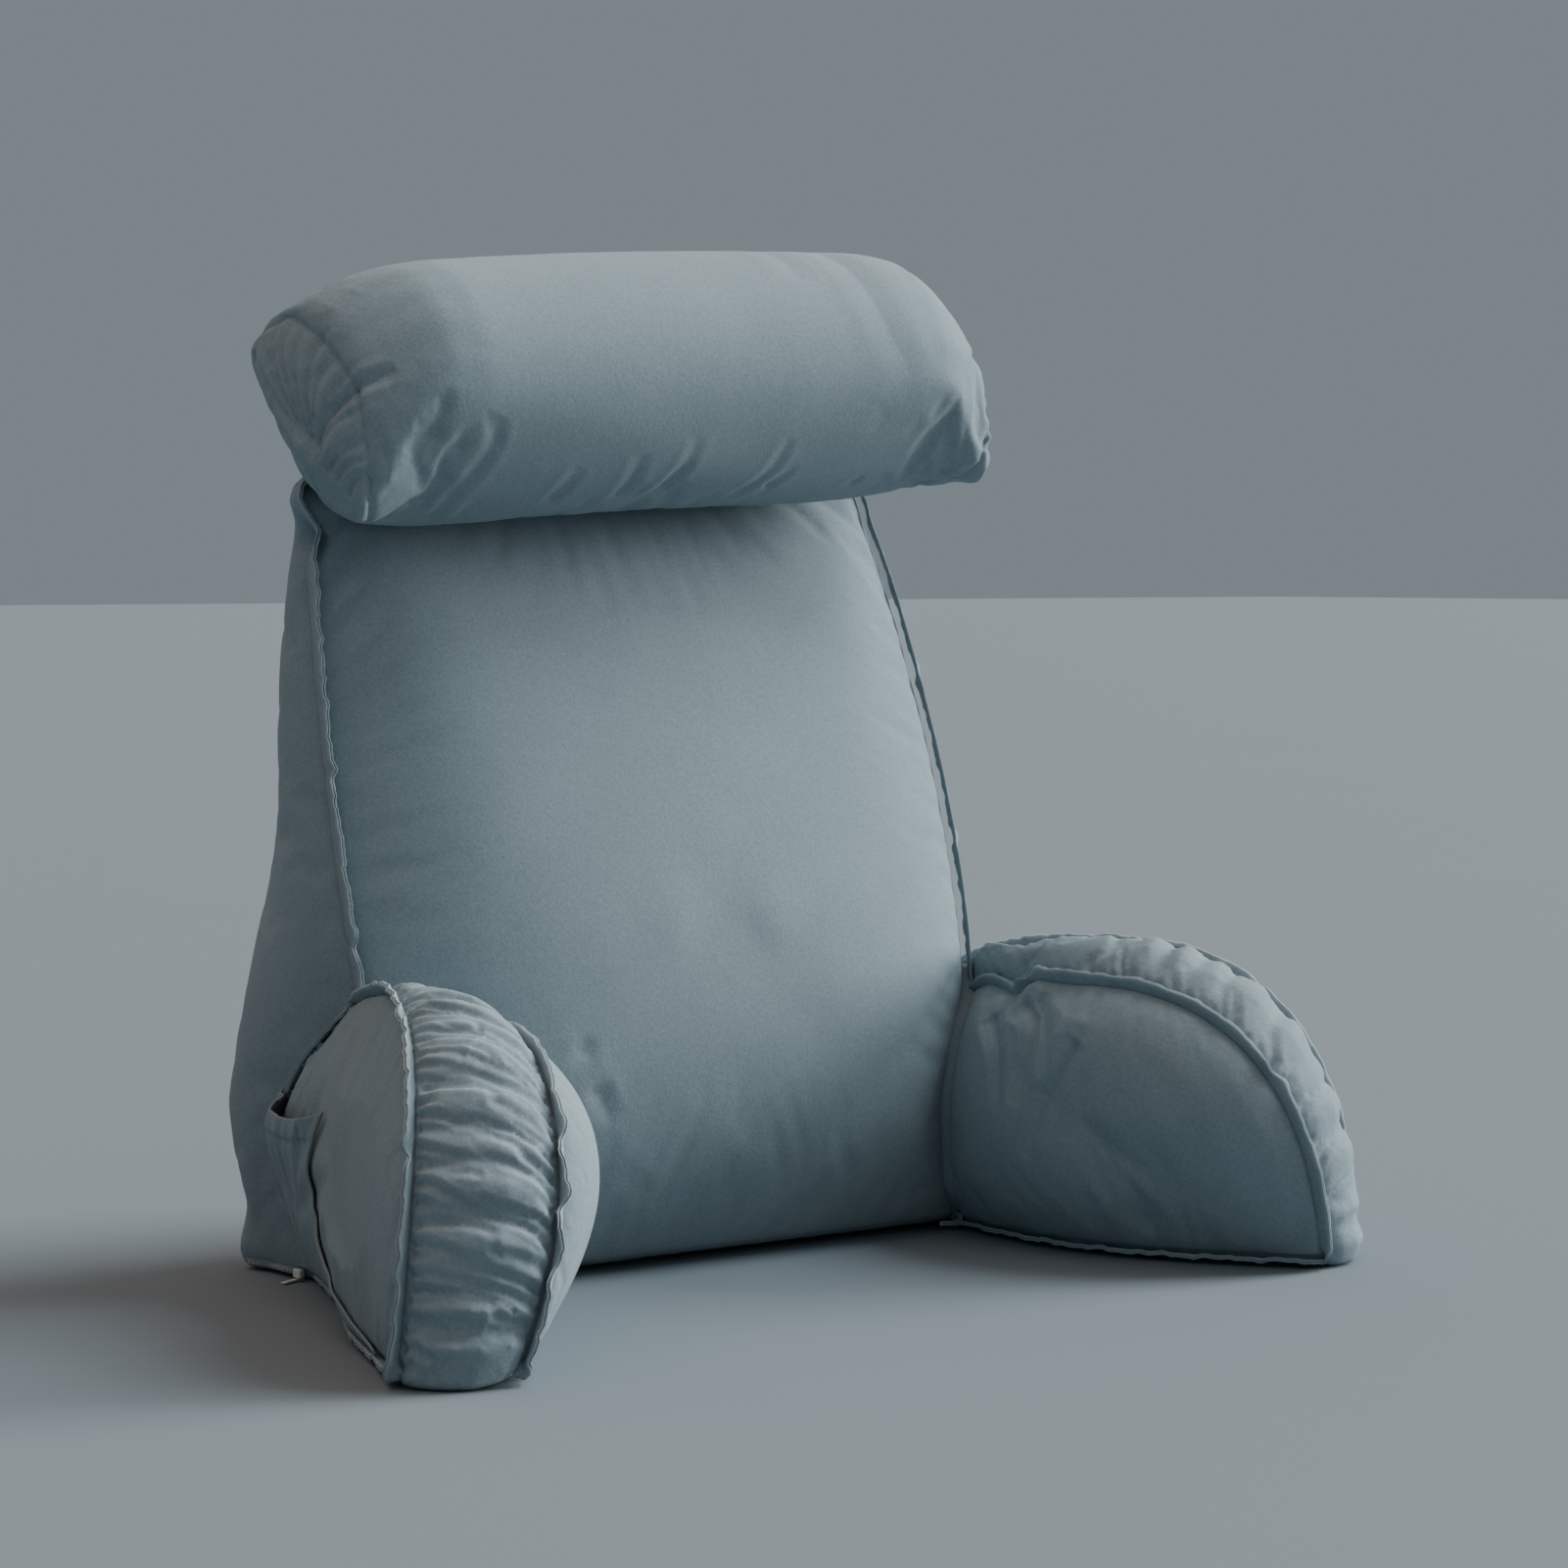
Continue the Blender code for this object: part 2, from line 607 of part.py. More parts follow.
def grown_copy(item, gap):
    """A hidden cutter: the same cushion, larger by a gap on every side."""
    mesh = item.data.copy()
    shape = bmesh.new()
    shape.from_mesh(mesh)
    shape.normal_update()
    shifts = [vert.normal * gap for vert in shape.verts]
    for vert, shift in zip(shape.verts, shifts):
        vert.co += shift
    shape.to_mesh(mesh)
    shape.free()
    cutter = bpy.data.objects.new(item.name + "_cutter", mesh)
    bpy.context.collection.objects.link(cutter)
    cutter.hide_render = True
    cutter.display_type = "WIRE"
    return cutter


def cut_with(item, cutter):
    cut = item.modifiers.new("seat", "BOOLEAN")
    cut.operation = "DIFFERENCE"
    cut.solver = "EXACT"
    cut.object = cutter


def main():
    remove_scene_objects()
    cloth = plain_material("washed_cotton", CLOTH_COLOUR, CLOTH_ROUGHNESS)
    back = back_cushion(cloth)
    cutter = grown_copy(back, 2.5 * GAP)
    for name, place in ARM_PLACES.items():
        arm = arm_cushion(name, place, cloth)
        cut_with(arm, cutter)
        if name == "left_arm":
            pocket = arm_pocket(arm, place, cloth)
            cut_with(pocket, cutter)
    zip_pieces(back, plain_material("zip_moulding", ZIP_COLOUR, ZIP_ROUGHNESS))
    roll = neck_roll(cloth)
    cut_with(roll, cutter)


main()
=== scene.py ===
"""Dresses the reading pillow: puffed cotton covers with gathered seams and raised seam flanges,
an open patch pocket and a closed zip, standing on a plain studio floor.

Lengths are in metres. X runs across the pillow, Y to its rear and Z up. The seams follow the same
driving sizes as the solids: a wedge back, two splayed arms and a neck roll. Each cover starts from
its solid, is remeshed evenly, blown up by the cloth simulation with its seams held, and then gets
the folds and gathers that its sewing makes.
"""
import math
import random
from typing import NamedTuple

import bmesh
import bpy
import numpy as np
from bpy.props import FloatProperty, FloatVectorProperty, IntProperty, PointerProperty
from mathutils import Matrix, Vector
from mathutils.bvhtree import BVHTree
from mathutils.kdtree import KDTree


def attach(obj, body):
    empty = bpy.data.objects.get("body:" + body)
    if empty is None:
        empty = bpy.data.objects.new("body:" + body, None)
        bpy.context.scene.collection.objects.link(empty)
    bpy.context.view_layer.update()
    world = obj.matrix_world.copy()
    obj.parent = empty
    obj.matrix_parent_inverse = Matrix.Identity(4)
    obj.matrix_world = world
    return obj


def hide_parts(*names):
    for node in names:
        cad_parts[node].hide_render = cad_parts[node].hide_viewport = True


bl_info = {
    "name": "Reading Pillow",
    "version": (1, 0, 0),
    "blender": (4, 5, 0),
    "location": "View3D > Sidebar > Pillow",
    "description": "Puffed covers, gathered seams, a pocket and a zip for a reading pillow",
    "category": "Object",
}

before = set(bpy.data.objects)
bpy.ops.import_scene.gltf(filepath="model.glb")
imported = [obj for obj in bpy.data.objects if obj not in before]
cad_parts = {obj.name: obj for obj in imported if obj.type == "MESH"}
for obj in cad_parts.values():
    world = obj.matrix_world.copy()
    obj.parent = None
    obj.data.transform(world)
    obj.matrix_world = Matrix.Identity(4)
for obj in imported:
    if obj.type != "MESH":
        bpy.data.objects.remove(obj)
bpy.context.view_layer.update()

MM = 0.001

# Stage: seen from the pillow's left front, a little above its seat
CAMERA_PLACE = (-1.6844, -2.2883, 0.4681)
CAMERA_AIM = (0.1034, 0.0, 0.3159)
CAMERA_LENS = 96.76
CAMERA_SENSOR = 36
FLOOR_SIZE = 40
ROOM_COLOUR = "7A858B"
LIGHTS = {                      # spread in degrees, place and colour
    "low_key": (30, (2.5, -0.68, 0.85), "FFFFFC"),
    "high_key": (30, (1.8, -0.6, 2.4), "F3FBFF"),
    "top": (70, (-0.3, 0.6, 2.0), "FFCEAE"),
    "front": (80, (0.5, -2.4, 0.6), "FFF4E8"),
}

# Seams and their flanges
SEAM_LIFT = 5.5 * MM            # height of the base seam over the ground
SEAM_STEP = 3 * MM              # between two stations of a seam
FLANGE_LEAN = math.radians(35)  # towards the panel's own side
INNER_FLANGE_LEAN = math.radians(14)
BACK_LEFT_LEAN = math.radians(80)
BACK_RIGHT_LEAN = math.radians(-65)
BACK_TURN = 200 * MM            # the width over which the left lean turns to the right one
BACK_RIGHT_SINK = 0.55          # how much lower the back's flange is on its right side
BASE_FLANGE_SHARE = 0.55        # heights of the flanges as shares of the tallest
ARM_FLANGE_SHARE = 0.8
BASE_FLANGE_FROM = 205 * MM     # the back's base flange shows only near its corners
FLANGE_REACH = 7.5 * MM         # how far the solid's own flanges reach from their seams
FLANGE_UNEVEN = 0.14            # how much its height and its lean waver, over what lengths
FLANGE_WAVE = 61 * MM
SLOW_SWAY, SLOW_WAVE = 1.2 * MM, 42 * MM
QUICK_SWAY, QUICK_WAVE = 0.9 * MM, 15 * MM
FLANGE_GROUND = 0.6 * MM        # flanges keep this far above the ground
FLANGE_SECTION = (              # shares of its thickness and height, from root to root
    (-0.22, -1.1), (-0.26, -0.2), (-0.46, 0.35), (-0.5, 0.8), (-0.36, 1.0), (-0.12, 0.97),
    (0.0, 0.8), (0.12, 0.97), (0.36, 1.0), (0.5, 0.8), (0.46, 0.35), (0.26, -0.2), (0.22, -1.1),
)
JUNCTION_REACH = 5 * MM         # where an arm is sewn to the back
JUNCTION_TOP = 200 * MM
JUNCTION_LEVEL = 4 * MM         # between two heights at which the line is read
JUNCTION_OFFSET = 1.6 * MM
JUNCTION_HEIGHTS = {"front": 6 * MM, "rear": 4.5 * MM}
JUNCTION_THICKNESS = 0.8        # share of a flange's

# Channels: how far each reaches to its sides, and how deep it is
BACK_EDGE_FALL = (26 * MM, 3 * MM)
BACK_FRONT_CHANNEL = (4.5 * MM, 3 * MM)
BACK_REAR_CHANNEL = (4 * MM, 2 * MM)
ARM_CHANNEL = (4.5 * MM, 3.8 * MM)
JUNCTION_CHANNEL = (4 * MM, 3.5 * MM)
ROLL_END_CHANNEL = (2.2 * MM, 3.4 * MM)
NO_CHANNEL = (1 * MM, 0)

# Folds and gathers
SNAP = 0.9 * MM                 # a cover's points this near to a seam or a crisp fold lie on it
CRISP = 5 * MM                  # folds narrower than this are crisp
FOLD_STEP = 1.5 * MM            # between two points of a fold
GATHER_POINTS = 34
GATHER_START = 0.03             # share of the band that a pucker leaves out beside its seam
GATHER_WIDTHS = (2.2, 3.4)      # millimetres
GATHER_WANDER = 5               # millimetres that a pucker's far end may stray
GATHER_SPACING = (0.6, 1.4)     # shares of the pitch
GATHER_BOW = 7 * MM
GATHER_BOWS = (0.4, 1.3)        # shares of the bow
GATHER_SLANT = 0.045            # how much lower puckers end at the inner seam, as a share of it
GATHER_FIRST = 0.06             # shares of the seam between which the band is gathered
GATHER_LAST = 0.62

# Covers
PUFF_FRAMES = 20
PUFF_CAP = 7 * MM               # the farthest that the filling moves any point
COVER_GAP = 0.4 * MM            # between two covers
EDGE_GAP = 0.3 * MM             # between a free edge and another cover

# Back cushion
BACK_TOP = 527 * MM
BACK_CORNER = 26 * MM
BACK_TOP_ARCH = 5 * MM

# Arms
ARM_INNER_HEIGHT = 186 * MM
ARM_OUTER_HEIGHT = 206 * MM
ARM_INNER_CREST = 0.45
ARM_OUTER_CREST = 0.36
ARM_INNER_REACH = 40 * MM
ARM_OUTER_REACH = 164 * MM
ARM_REAR_LEAN = 24 * MM
ARM_FRONT_ROUNDNESS = 2.45
ARM_INNER_REAR_ROUNDNESS = 4.0
ARM_OUTER_REAR_ROUNDNESS = 2.5
ARM_NOTCH_AT = 42 * MM
ARM_NOTCH_WIDTH = 16 * MM
ARM_NOTCH_DEPTH = 12 * MM

# Neck roll
ROLL_HALF_LENGTH = 262 * MM
ROLL_CENTRE = Vector((-8 * MM, 16 * MM, 587 * MM))
ROLL_RISE = 15 * MM
END_HALF_LONG = 82 * MM
END_FRONT_ARC = 52 * MM
END_REAR_ARC = 14 * MM
END_LEAN = math.radians(42)
END_CENTRE = (10 * MM, -24 * MM)
END_POINTS = 160


class Hold(NamedTuple):
    """How near a cover's points lie to what holds them still while the filling presses."""
    seams: float
    neighbours: float
    ground: float


BACK_HOLD = Hold(4 * MM, 7 * MM, 3 * MM)
ARM_HOLD = Hold(3 * MM, 6 * MM, 2 * MM)
ROLL_HOLD = Hold(3 * MM, 6 * MM, 0)


class BackRow(NamedTuple):
    """One level of the back cushion, in millimetres."""
    height: float
    front_half_width: float
    front_y: float
    rear_half_width: float
    rear_y: float


BACK_ROWS = (
    BackRow(0, 225, -44, 248, 126),
    BackRow(105, 243, -35, 258, 145),
    BackRow(196, 254, -20, 252, 130),
    BackRow(290, 256, 3, 238, 113),
    BackRow(389, 250, 32, 233, 112),
    BackRow(458, 242, 54, 223, 109),
    BackRow(527, 229, 78, 207, 104),
)


class SeamRow(NamedTuple):
    """How deep an arm's seam lies, in millimetres, at one share of the arm's length."""
    share: float
    ground: float
    middle: float
    top: float


ARM_INNER_SEAM = (
    SeamRow(-0.6, -4, 10, 28),
    SeamRow(0.0, -2, 8, 20),
    SeamRow(0.4, -12, -8, -6),
    SeamRow(1.0, 11, -14, -16),
)
ARM_OUTER_SEAM = (
    SeamRow(-0.6, 16, 42, 24),
    SeamRow(0.0, 56, 46, 32),
    SeamRow(0.4, 84, 62, 56),
    SeamRow(1.0, 84, 75, 72),
)


class ArmPlace(NamedTuple):
    """Where an arm leaves the back, and how it swings outwards along its length."""
    side: int
    root_x: float
    root_y: float
    rear_splay: float
    front_splay: float
    length: float


ARM_PLACES = {
    "left_arm": ArmPlace(side=-1, root_x=228 * MM, root_y=-50 * MM, rear_splay=10,
                         front_splay=30, length=296 * MM),
    "right_arm": ArmPlace(side=1, root_x=228 * MM, root_y=-50 * MM, rear_splay=-4,
                          front_splay=32, length=288 * MM),
}


class PocketRow(NamedTuple):
    """One level of the pocket and its two edges along the arm, in millimetres."""
    height: float
    rear: float
    front: float


POCKET_ROWS = (
    PocketRow(9, -104, 228),
    PocketRow(24, -114, 130),
    PocketRow(45, -124, 66),
    PocketRow(76, -128, 26),
    PocketRow(102, -118, 22),
    PocketRow(128, -92, 32),
)
POCKET_GRID = (110, 64)         # cells across and up
POCKET_THICKNESS = 1.6 * MM
POCKET_CLEARANCE = 1.2 * MM     # between its sewn edges and the arm
POCKET_GAPE = 12 * MM           # how far its mouth stands open
POCKET_SIDE = 0.2               # shares of its width in which the pocket turns back to the arm
POCKET_REAR_SIDE = 0.3
POCKET_DIP = 9 * MM             # how far its mouth hangs in the middle
POCKET_SEWN_BELOW = 62 * MM
POCKET_STEP = 0.9 * MM          # the thickness of a turned edge
POCKET_EDGE = 0.95              # share of the width from which it is turned
HEM_FROM = 0.82                 # share of the height from which it is hemmed
LOOK_FROM = 300 * MM            # outside the arm and the back, on the side with the pocket

ZIP_REAR_Y = 118 * MM
ZIP_FRONT_Y = 62 * MM
ZIP_LOW = 2.5 * MM
ZIP_HIGH = 8 * MM
ZIP_TAPE_GRID = (28, 4)         # cells along and up
ZIP_TAPE_THICKNESS = 0.6 * MM
ZIP_TAPE_LIFT = 0.9 * MM        # over the back's cover, as the teeth's
ZIP_TOOTH_LIFT = 1.5 * MM
ZIP_TOOTH_PITCH = 1.3 * MM
ZIP_TOOTH_SHIFT = 0.55 * MM     # of the upper and the lower row from the middle
ZIP_TOOTH = Vector((0.0011, 0.0008, 0.0022))
ZIP_TOOTH_BEVEL = 0.2 * MM


class Seam(NamedTuple):
    """A sewn line in world space, with the ways its flange stands and its thickness runs."""
    points: np.ndarray
    lean: np.ndarray
    across: np.ndarray
    is_base: np.ndarray


class Crease(NamedTuple):
    """A pressed line along a path on a cover, deepest at its start."""
    path: np.ndarray
    width: float
    depth: float
    fade: float
    ridge: float


class Fold(NamedTuple):
    """A fold seen on a cover: its size and the points it runs through, in millimetres."""
    width: float
    depth: float
    points: tuple


ROLL_FOLDS = (
    # across the front, up and right from the bottom edge
    Fold(4.6, 2.9, ((-193, 1, 495), (-189, -14, 499), (-189, -35, 510), (-183, -50, 525),
                    (-178, -60, 542), (-177, -66, 562))),
    Fold(4.4, 2.1, ((-113, -28, 508), (-106, -54, 531))),
    Fold(4.6, 2.2, ((-60, -30, 510), (-61, -58, 540))),
    Fold(4.4, 1.9, ((-33, -30, 512), (-23, -51, 531), (-19, -64, 552))),
    Fold(4.4, 1.9, ((40, -25, 513), (54, -44, 529), (60, -62, 553))),
    Fold(4.4, 2.1, ((61, -32, 519), (77, -46, 532))),
    Fold(4.4, 1.8, ((142, -22, 520), (150, -31, 526))),
    Fold(4.4, 2.8, ((225, -25, 525), (209, -52, 552), (194, -61, 571))),
    Fold(3.9, 2.1, ((230, -40, 536), (217, -55, 566))),
    Fold(9.9, 1.8, ((135, 2, 679), (137, -50, 648), (144, -65, 618), (160, -68, 594))),
    Fold(8.8, 1.4, ((88, 3, 677), (84, -43, 654))),
)
ARM_FOLDS = {
    "left_arm": (),
    "right_arm": (
        Fold(6.5, 8, ((222, -114, 168), (204, -146, 156), (196, -149, 133), (192, -142, 100))),
        Fold(5.5, 4.5, ((219, -134, 172), (202, -159, 154), (194, -172, 128), (192, -174, 112))),
        Fold(6.5, 7, ((200, -196, 150), (193, -184, 123), (193, -170, 99), (189, -158, 66))),
        Fold(5.5, 5, ((215, -87, 158), (200, -115, 133), (193, -130, 95))),
    ),
}
BACK_FOLDS = (
    Fold(6, 2.5, ((-107, -68, 129), (-101, -69, 115), (-95, -70, 105))),
    Fold(6, 2, ((-118, -67, 148), (-111, -67, 161))),
)
POCKET_FOLDS = (
    Fold(3, 2, ((-311, -40, 118), (-310, -36, 96), (-300, -22, 70))),
)
ROLL_END_FOLDS = (
    # at the left end, from where the end panel is gathered up to the end seam
    Fold(3.4, 5, ((-282, 6, 550), (-282, 45, 577), (-274, 80, 606))),
    Fold(3.2, 5, ((-282, 3, 547), (-281, 33, 577), (-272, 65, 613))),
    Fold(3.4, 6, ((-282, 0, 545), (-282, 25, 574), (-275, 49, 606), (-266, 54, 623))),
    Fold(3.2, 6.5, ((-282, -2, 544), (-281, 18, 574), (-276, 35, 603), (-265, 38, 625))),
    Fold(3.4, 7, ((-281, -4, 543), (-281, 10, 573), (-275, 22, 602), (-266, 21, 621))),
    Fold(3.4, 7.5, ((-281, -6, 541), (-279, 2, 576), (-271, 6, 601), (-260, 1, 617))),
    Fold(3.2, 6, ((-281, -7, 540), (-279, -6, 567), (-272, -6, 588), (-263, -12, 600))),
    Fold(3.2, 6, ((-281, -8, 539), (-278, -14, 557), (-269, -21, 581), (-258, -28, 592))),
    Fold(3.8, 9, ((-281, -8, 538), (-277, -17, 558), (-268, -27, 572), (-261, -33, 578),
                  (-252, -39, 582), (-240, -44, 588))),
    Fold(3, 4, ((-280, -12, 533), (-276, -21, 551), (-270, -31, 560), (-262, -41, 564))),
    Fold(3.2, 5, ((-278, -18, 525), (-275, -30, 536), (-264, -45, 546))),
    Fold(2.8, 4, ((-277, -25, 519), (-273, -36, 529), (-265, -47, 533))),
    Fold(2.8, 4, ((-274, -32, 510), (-271, -40, 519), (-261, -46, 523))),
)
ROLL_END_SEAM = (
    (-268, 60, 622), (-266, 41, 626), (-266, 30, 622), (-266, 10, 613), (-265, -5, 603),
    (-265, -20, 591), (-263, -32, 577), (-264, -42, 558), (-264, -48, 532), (-261, -46, 514),
    (-252, -24, 498), (-236, 0, 492), (-262, 2, 505), (-278, 4, 526), (-281, 24, 544),
    (-280, 54, 566), (-276, 76, 592), (-271, 74, 612),
)


class Gathers(NamedTuple):
    """How an arm's band is gathered: depths in millimetres, lengths as shares of its width."""
    shallow: float
    deep: float
    lengths: tuple


ARM_GATHERS = {
    "left_arm": Gathers(shallow=2.0, deep=4.4, lengths=(0.22, 0.3, 0.42, 0.6, 0.8, 1.0)),
    "right_arm": Gathers(shallow=1.2, deep=3.0, lengths=(0.14, 0.2, 0.28, 0.4, 0.55)),
}


class Notch(NamedTuple):
    """A place where a flange folds over: it dips, and swells and swings beside the dip."""
    centre: tuple
    length: float = 9
    dip: float = 0.55
    swell: float = 0.1
    kink: float = 3.5


class Ear(NamedTuple):
    """A corner that stands out, in millimetres."""
    centre: tuple
    reach: float
    shift: tuple


BACK_NOTCHES = (
    Notch((-246, 15, 330)),
    Notch((-254, -12, 225)),
    Notch((250, 32, 389), kink=-4),
    Notch((254, -2, 270), kink=-4),
)
ARM_NOTCHES = {
    ("left_arm", "inner"): (
        Notch((-262, -300, 118), dip=0.5, kink=6),
        Notch((-282, -325, 92), dip=0.6, kink=7),
        Notch((-290, -330, 60), dip=0.4, kink=5),
    ),
    ("left_arm", "outer"): (
        Notch((-330, -205, 200), dip=0.6, kink=7),
        Notch((-380, -290, 140), dip=0.6, kink=7),
        Notch((-395, -315, 60), dip=0.3, kink=4),
    ),
    ("right_arm", "inner"): (
        Notch((222, -112, 172), dip=0.6, swell=0.3, kink=7),
        Notch((290, -280, 120), dip=0.3, kink=4),
    ),
    ("right_arm", "outer"): (
        Notch((330, -230, 170), dip=0.3, kink=4),
    ),
}
ROLL_EARS = (
    Ear((-278, 30, 600), 125, (2, 0, 10)),
    Ear((-252, -22, 500), 62, (11, 0, -2)),
)
BACK_EARS = (
    Ear((-226, 74, 520), 48, (-16, -4, -2)),
    Ear((-236, 70, 486), 24, (9, 0, 0)),
    Ear((222, 76, 522), 34, (5, 0, 2)),
    Ear((-252, 128, 6), 46, (-10, 8, 0)),
)


# Lines and curves

def smooth_step(value):
    """From 0 at 0 to 1 at 1, level at both ends."""
    value = np.clip(value, 0.0, 1.0)
    return value * value * (3.0 - 2.0 * value)


def unit(ways):
    """The same ways, each one long."""
    return ways / np.maximum(np.linalg.norm(ways, axis=-1, keepdims=True), 1e-9)


def wander(run, pitch, seed):
    """A smooth uneven wave from about -1 to 1 along a run, with bends a pitch apart."""
    draw = random.Random(seed)
    wave = np.zeros(np.shape(run))
    for weight, stretch in ((0.5, 1.0), (0.32, 1.73), (0.18, 2.9)):
        turn = draw.uniform(0, 2 * math.pi)
        wave = wave + weight * np.sin(2 * math.pi * run * stretch / pitch + turn)
    return wave


def read_table(rows, key, column, places):
    """Reads one column of a table at any place along its key."""
    levels = np.array([getattr(row, key) for row in rows], dtype=float)
    values = np.array([getattr(row, column) for row in rows], dtype=float)
    return read_line(levels, values, places)


def read_line(levels, values, places):
    """A smooth curve through values at rising levels, read at any places."""
    slopes = np.gradient(values, levels)
    places = np.clip(places, levels[0], levels[-1])
    index = np.clip(np.searchsorted(levels, places) - 1, 0, len(levels) - 2)
    span = levels[index + 1] - levels[index]
    part = (places - levels[index]) / span
    rise = values[index + 1] - values[index]
    start = slopes[index] * span - rise
    finish = rise - slopes[index + 1] * span
    bend = part * (1 - part) * (start * (1 - part) + finish * part)
    return values[index] + part * rise + bend


def back_profile(column, heights):
    """One column of the back's table at any heights."""
    return read_table(BACK_ROWS, "height", column, np.asarray(heights) / MM) * MM


def run_along(points):
    """How far along a line each of its points lies."""
    return np.concatenate([[0], np.cumsum(np.linalg.norm(np.diff(points, axis=0), axis=1))])


def even_line(points, step):
    """The same open line with points an even step apart."""
    run = run_along(points)
    places = np.linspace(0, run[-1], int(run[-1] / step))
    return np.column_stack([np.interp(places, run, points[:, axis]) for axis in range(3)])


def even_loop(points, step):
    """The same closed line with points an even step apart."""
    closed = np.vstack([points, points[:1]])
    run = run_along(closed)
    places = np.linspace(0, run[-1], int(round(run[-1] / step)), endpoint=False)
    return np.column_stack([np.interp(places, run, closed[:, axis]) for axis in range(3)])


def curve_through(keys, points, places):
    """A smooth curve through points, read at any places along their keys."""
    return np.column_stack([read_line(keys, points[:, axis], places) for axis in range(3)])


def rounded_loop(points, step):
    """A closed line through points, rounded between them, with points an even step apart."""
    turn = np.arange(len(points) + 4) - 2
    fine = np.linspace(0, len(points), 12 * len(points), endpoint=False)
    return even_loop(curve_through(turn.astype(float), points[turn % len(points)], fine), step)


def flange_ways(line, face, angle=FLANGE_LEAN):
    """The ways in which a panel's flange stands and is thick, and which of it is base."""
    step = np.roll(line, -1, axis=0) - np.roll(line, 1, axis=0)
    outward = np.column_stack([step[:, 2], np.zeros(len(line)), -step[:, 0]])
    if np.sum(outward * (line - line.mean(axis=0))) < 0:
        outward = -outward
    outward = unit(outward)
    is_base = line[:, 2] < SEAM_LIFT + 0.1 * MM
    facing = np.zeros_like(line)
    facing[:, 1] = face
    out, aside = np.cos(angle), np.sin(angle)
    lean = out * outward + aside * facing
    across = aside * outward - out * facing
    low = smooth_step(1 - (line[:, 2] - SEAM_LIFT) / (12 * MM))[:, None]
    lean = unit(lean * (1 - low) + facing * low)
    across = unit(across * (1 - low) + np.array([0, 0, -1.0]) * low)
    return lean, across, is_base


def rightness(x):
    """From 0 at the back's left side to 1 at its right side."""
    return smooth_step(x / BACK_TURN + 0.5)


def back_seam(width_column, depth_column, face):
    """The seam of one back panel: up the right side, over the top, down, and along the base."""
    straight_top = BACK_TOP - BACK_CORNER
    heights = np.linspace(SEAM_LIFT, straight_top, 90)
    turns = np.linspace(0, math.pi / 2, 14)[1:]
    shoulder = back_profile(width_column, straight_top) - BACK_CORNER
    side = [(back_profile(width_column, height), height) for height in heights]
    side += [(shoulder + BACK_CORNER * math.cos(turn), straight_top + BACK_CORNER * math.sin(turn))
             for turn in turns]
    top = [(x, BACK_TOP + BACK_TOP_ARCH * (1 - (x / shoulder) ** 2))
           for x in np.linspace(shoulder, -shoulder, 60)[1:-1]]
    flat = np.array(side + top + [(-x, z) for x, z in reversed(side)], dtype=float)
    depth = back_profile(depth_column, np.minimum(flat[:, 1], BACK_TOP))
    line = even_loop(np.column_stack([flat[:, 0], depth, flat[:, 1]]), SEAM_STEP)
    angle = BACK_LEFT_LEAN + (BACK_RIGHT_LEAN - BACK_LEFT_LEAN) * rightness(line[:, :1])
    return Seam(line, *flange_ways(line, face, angle))


def arm_outline(length, height, crest_share, reach, rear_power):
    """An arm panel's outline: up its rear edge, over the crest, down the front, and back."""
    crest = length * crest_share
    rise = height - SEAM_LIFT
    points = []
    for turn in np.linspace(0, math.pi / 2, 60, endpoint=False):
        power = 2 / rear_power
        along = crest - math.cos(turn) ** power * (crest + reach)
        points.append((along, 0.0, SEAM_LIFT + rise * math.sin(turn) ** power))
    for turn in np.linspace(0, math.pi / 2, 120):
        power = 2 / ARM_FRONT_ROUNDNESS
        along = crest + math.sin(turn) ** power * (length - crest)
        points.append((along, 0.0, SEAM_LIFT + rise * abs(math.cos(turn)) ** power))
    return np.array(points)


def arm_depth(line, rows, length, height):
    """How deep an arm's seam lies along its line, from its table of ground, middle and top."""
    share = line[:, 0] / length
    level = (line[:, 2] - SEAM_LIFT) / height
    ground = read_table(rows, "share", "ground", share)
    middle = read_table(rows, "share", "middle", share)
    top = read_table(rows, "share", "top", share)
    low = (1 - level) * (1 - 2 * level)
    high = level * (2 * level - 1)
    return (ground * low + middle * 4 * level * (1 - level) + top * high) * MM


def arm_placer(place):
    """Turns rows of (along, deep, up) in an arm's own plane into places on the pillow."""
    bend = math.radians(place.front_splay - place.rear_splay) / place.length
    start = math.radians(place.rear_splay)

    def put(rows):
        along, deep, up = np.asarray(rows, dtype=float).T
        ahead = np.maximum(along, 0.0)
        behind = np.minimum(along, 0.0)
        angle = start + bend * ahead
        middle = start + bend * ahead / 2
        x = place.root_x + ahead * np.sin(middle) + behind * math.sin(start) + deep * np.cos(angle)
        y = place.root_y - ahead * np.cos(middle) - behind * math.cos(start) + deep * np.sin(angle)
        return np.column_stack([place.side * x, y, up])

    return put


def placed_seam(line, face, put, angle=FLANGE_LEAN):
    """A seam drawn in an arm's own plane, put in its place on the pillow."""
    lean, across, is_base = flange_ways(line, face, angle)
    points = put(line)
    lean, across = (unit(put(line + way * MM) - points) for way in (lean, across))
    return Seam(points, lean, across, is_base)


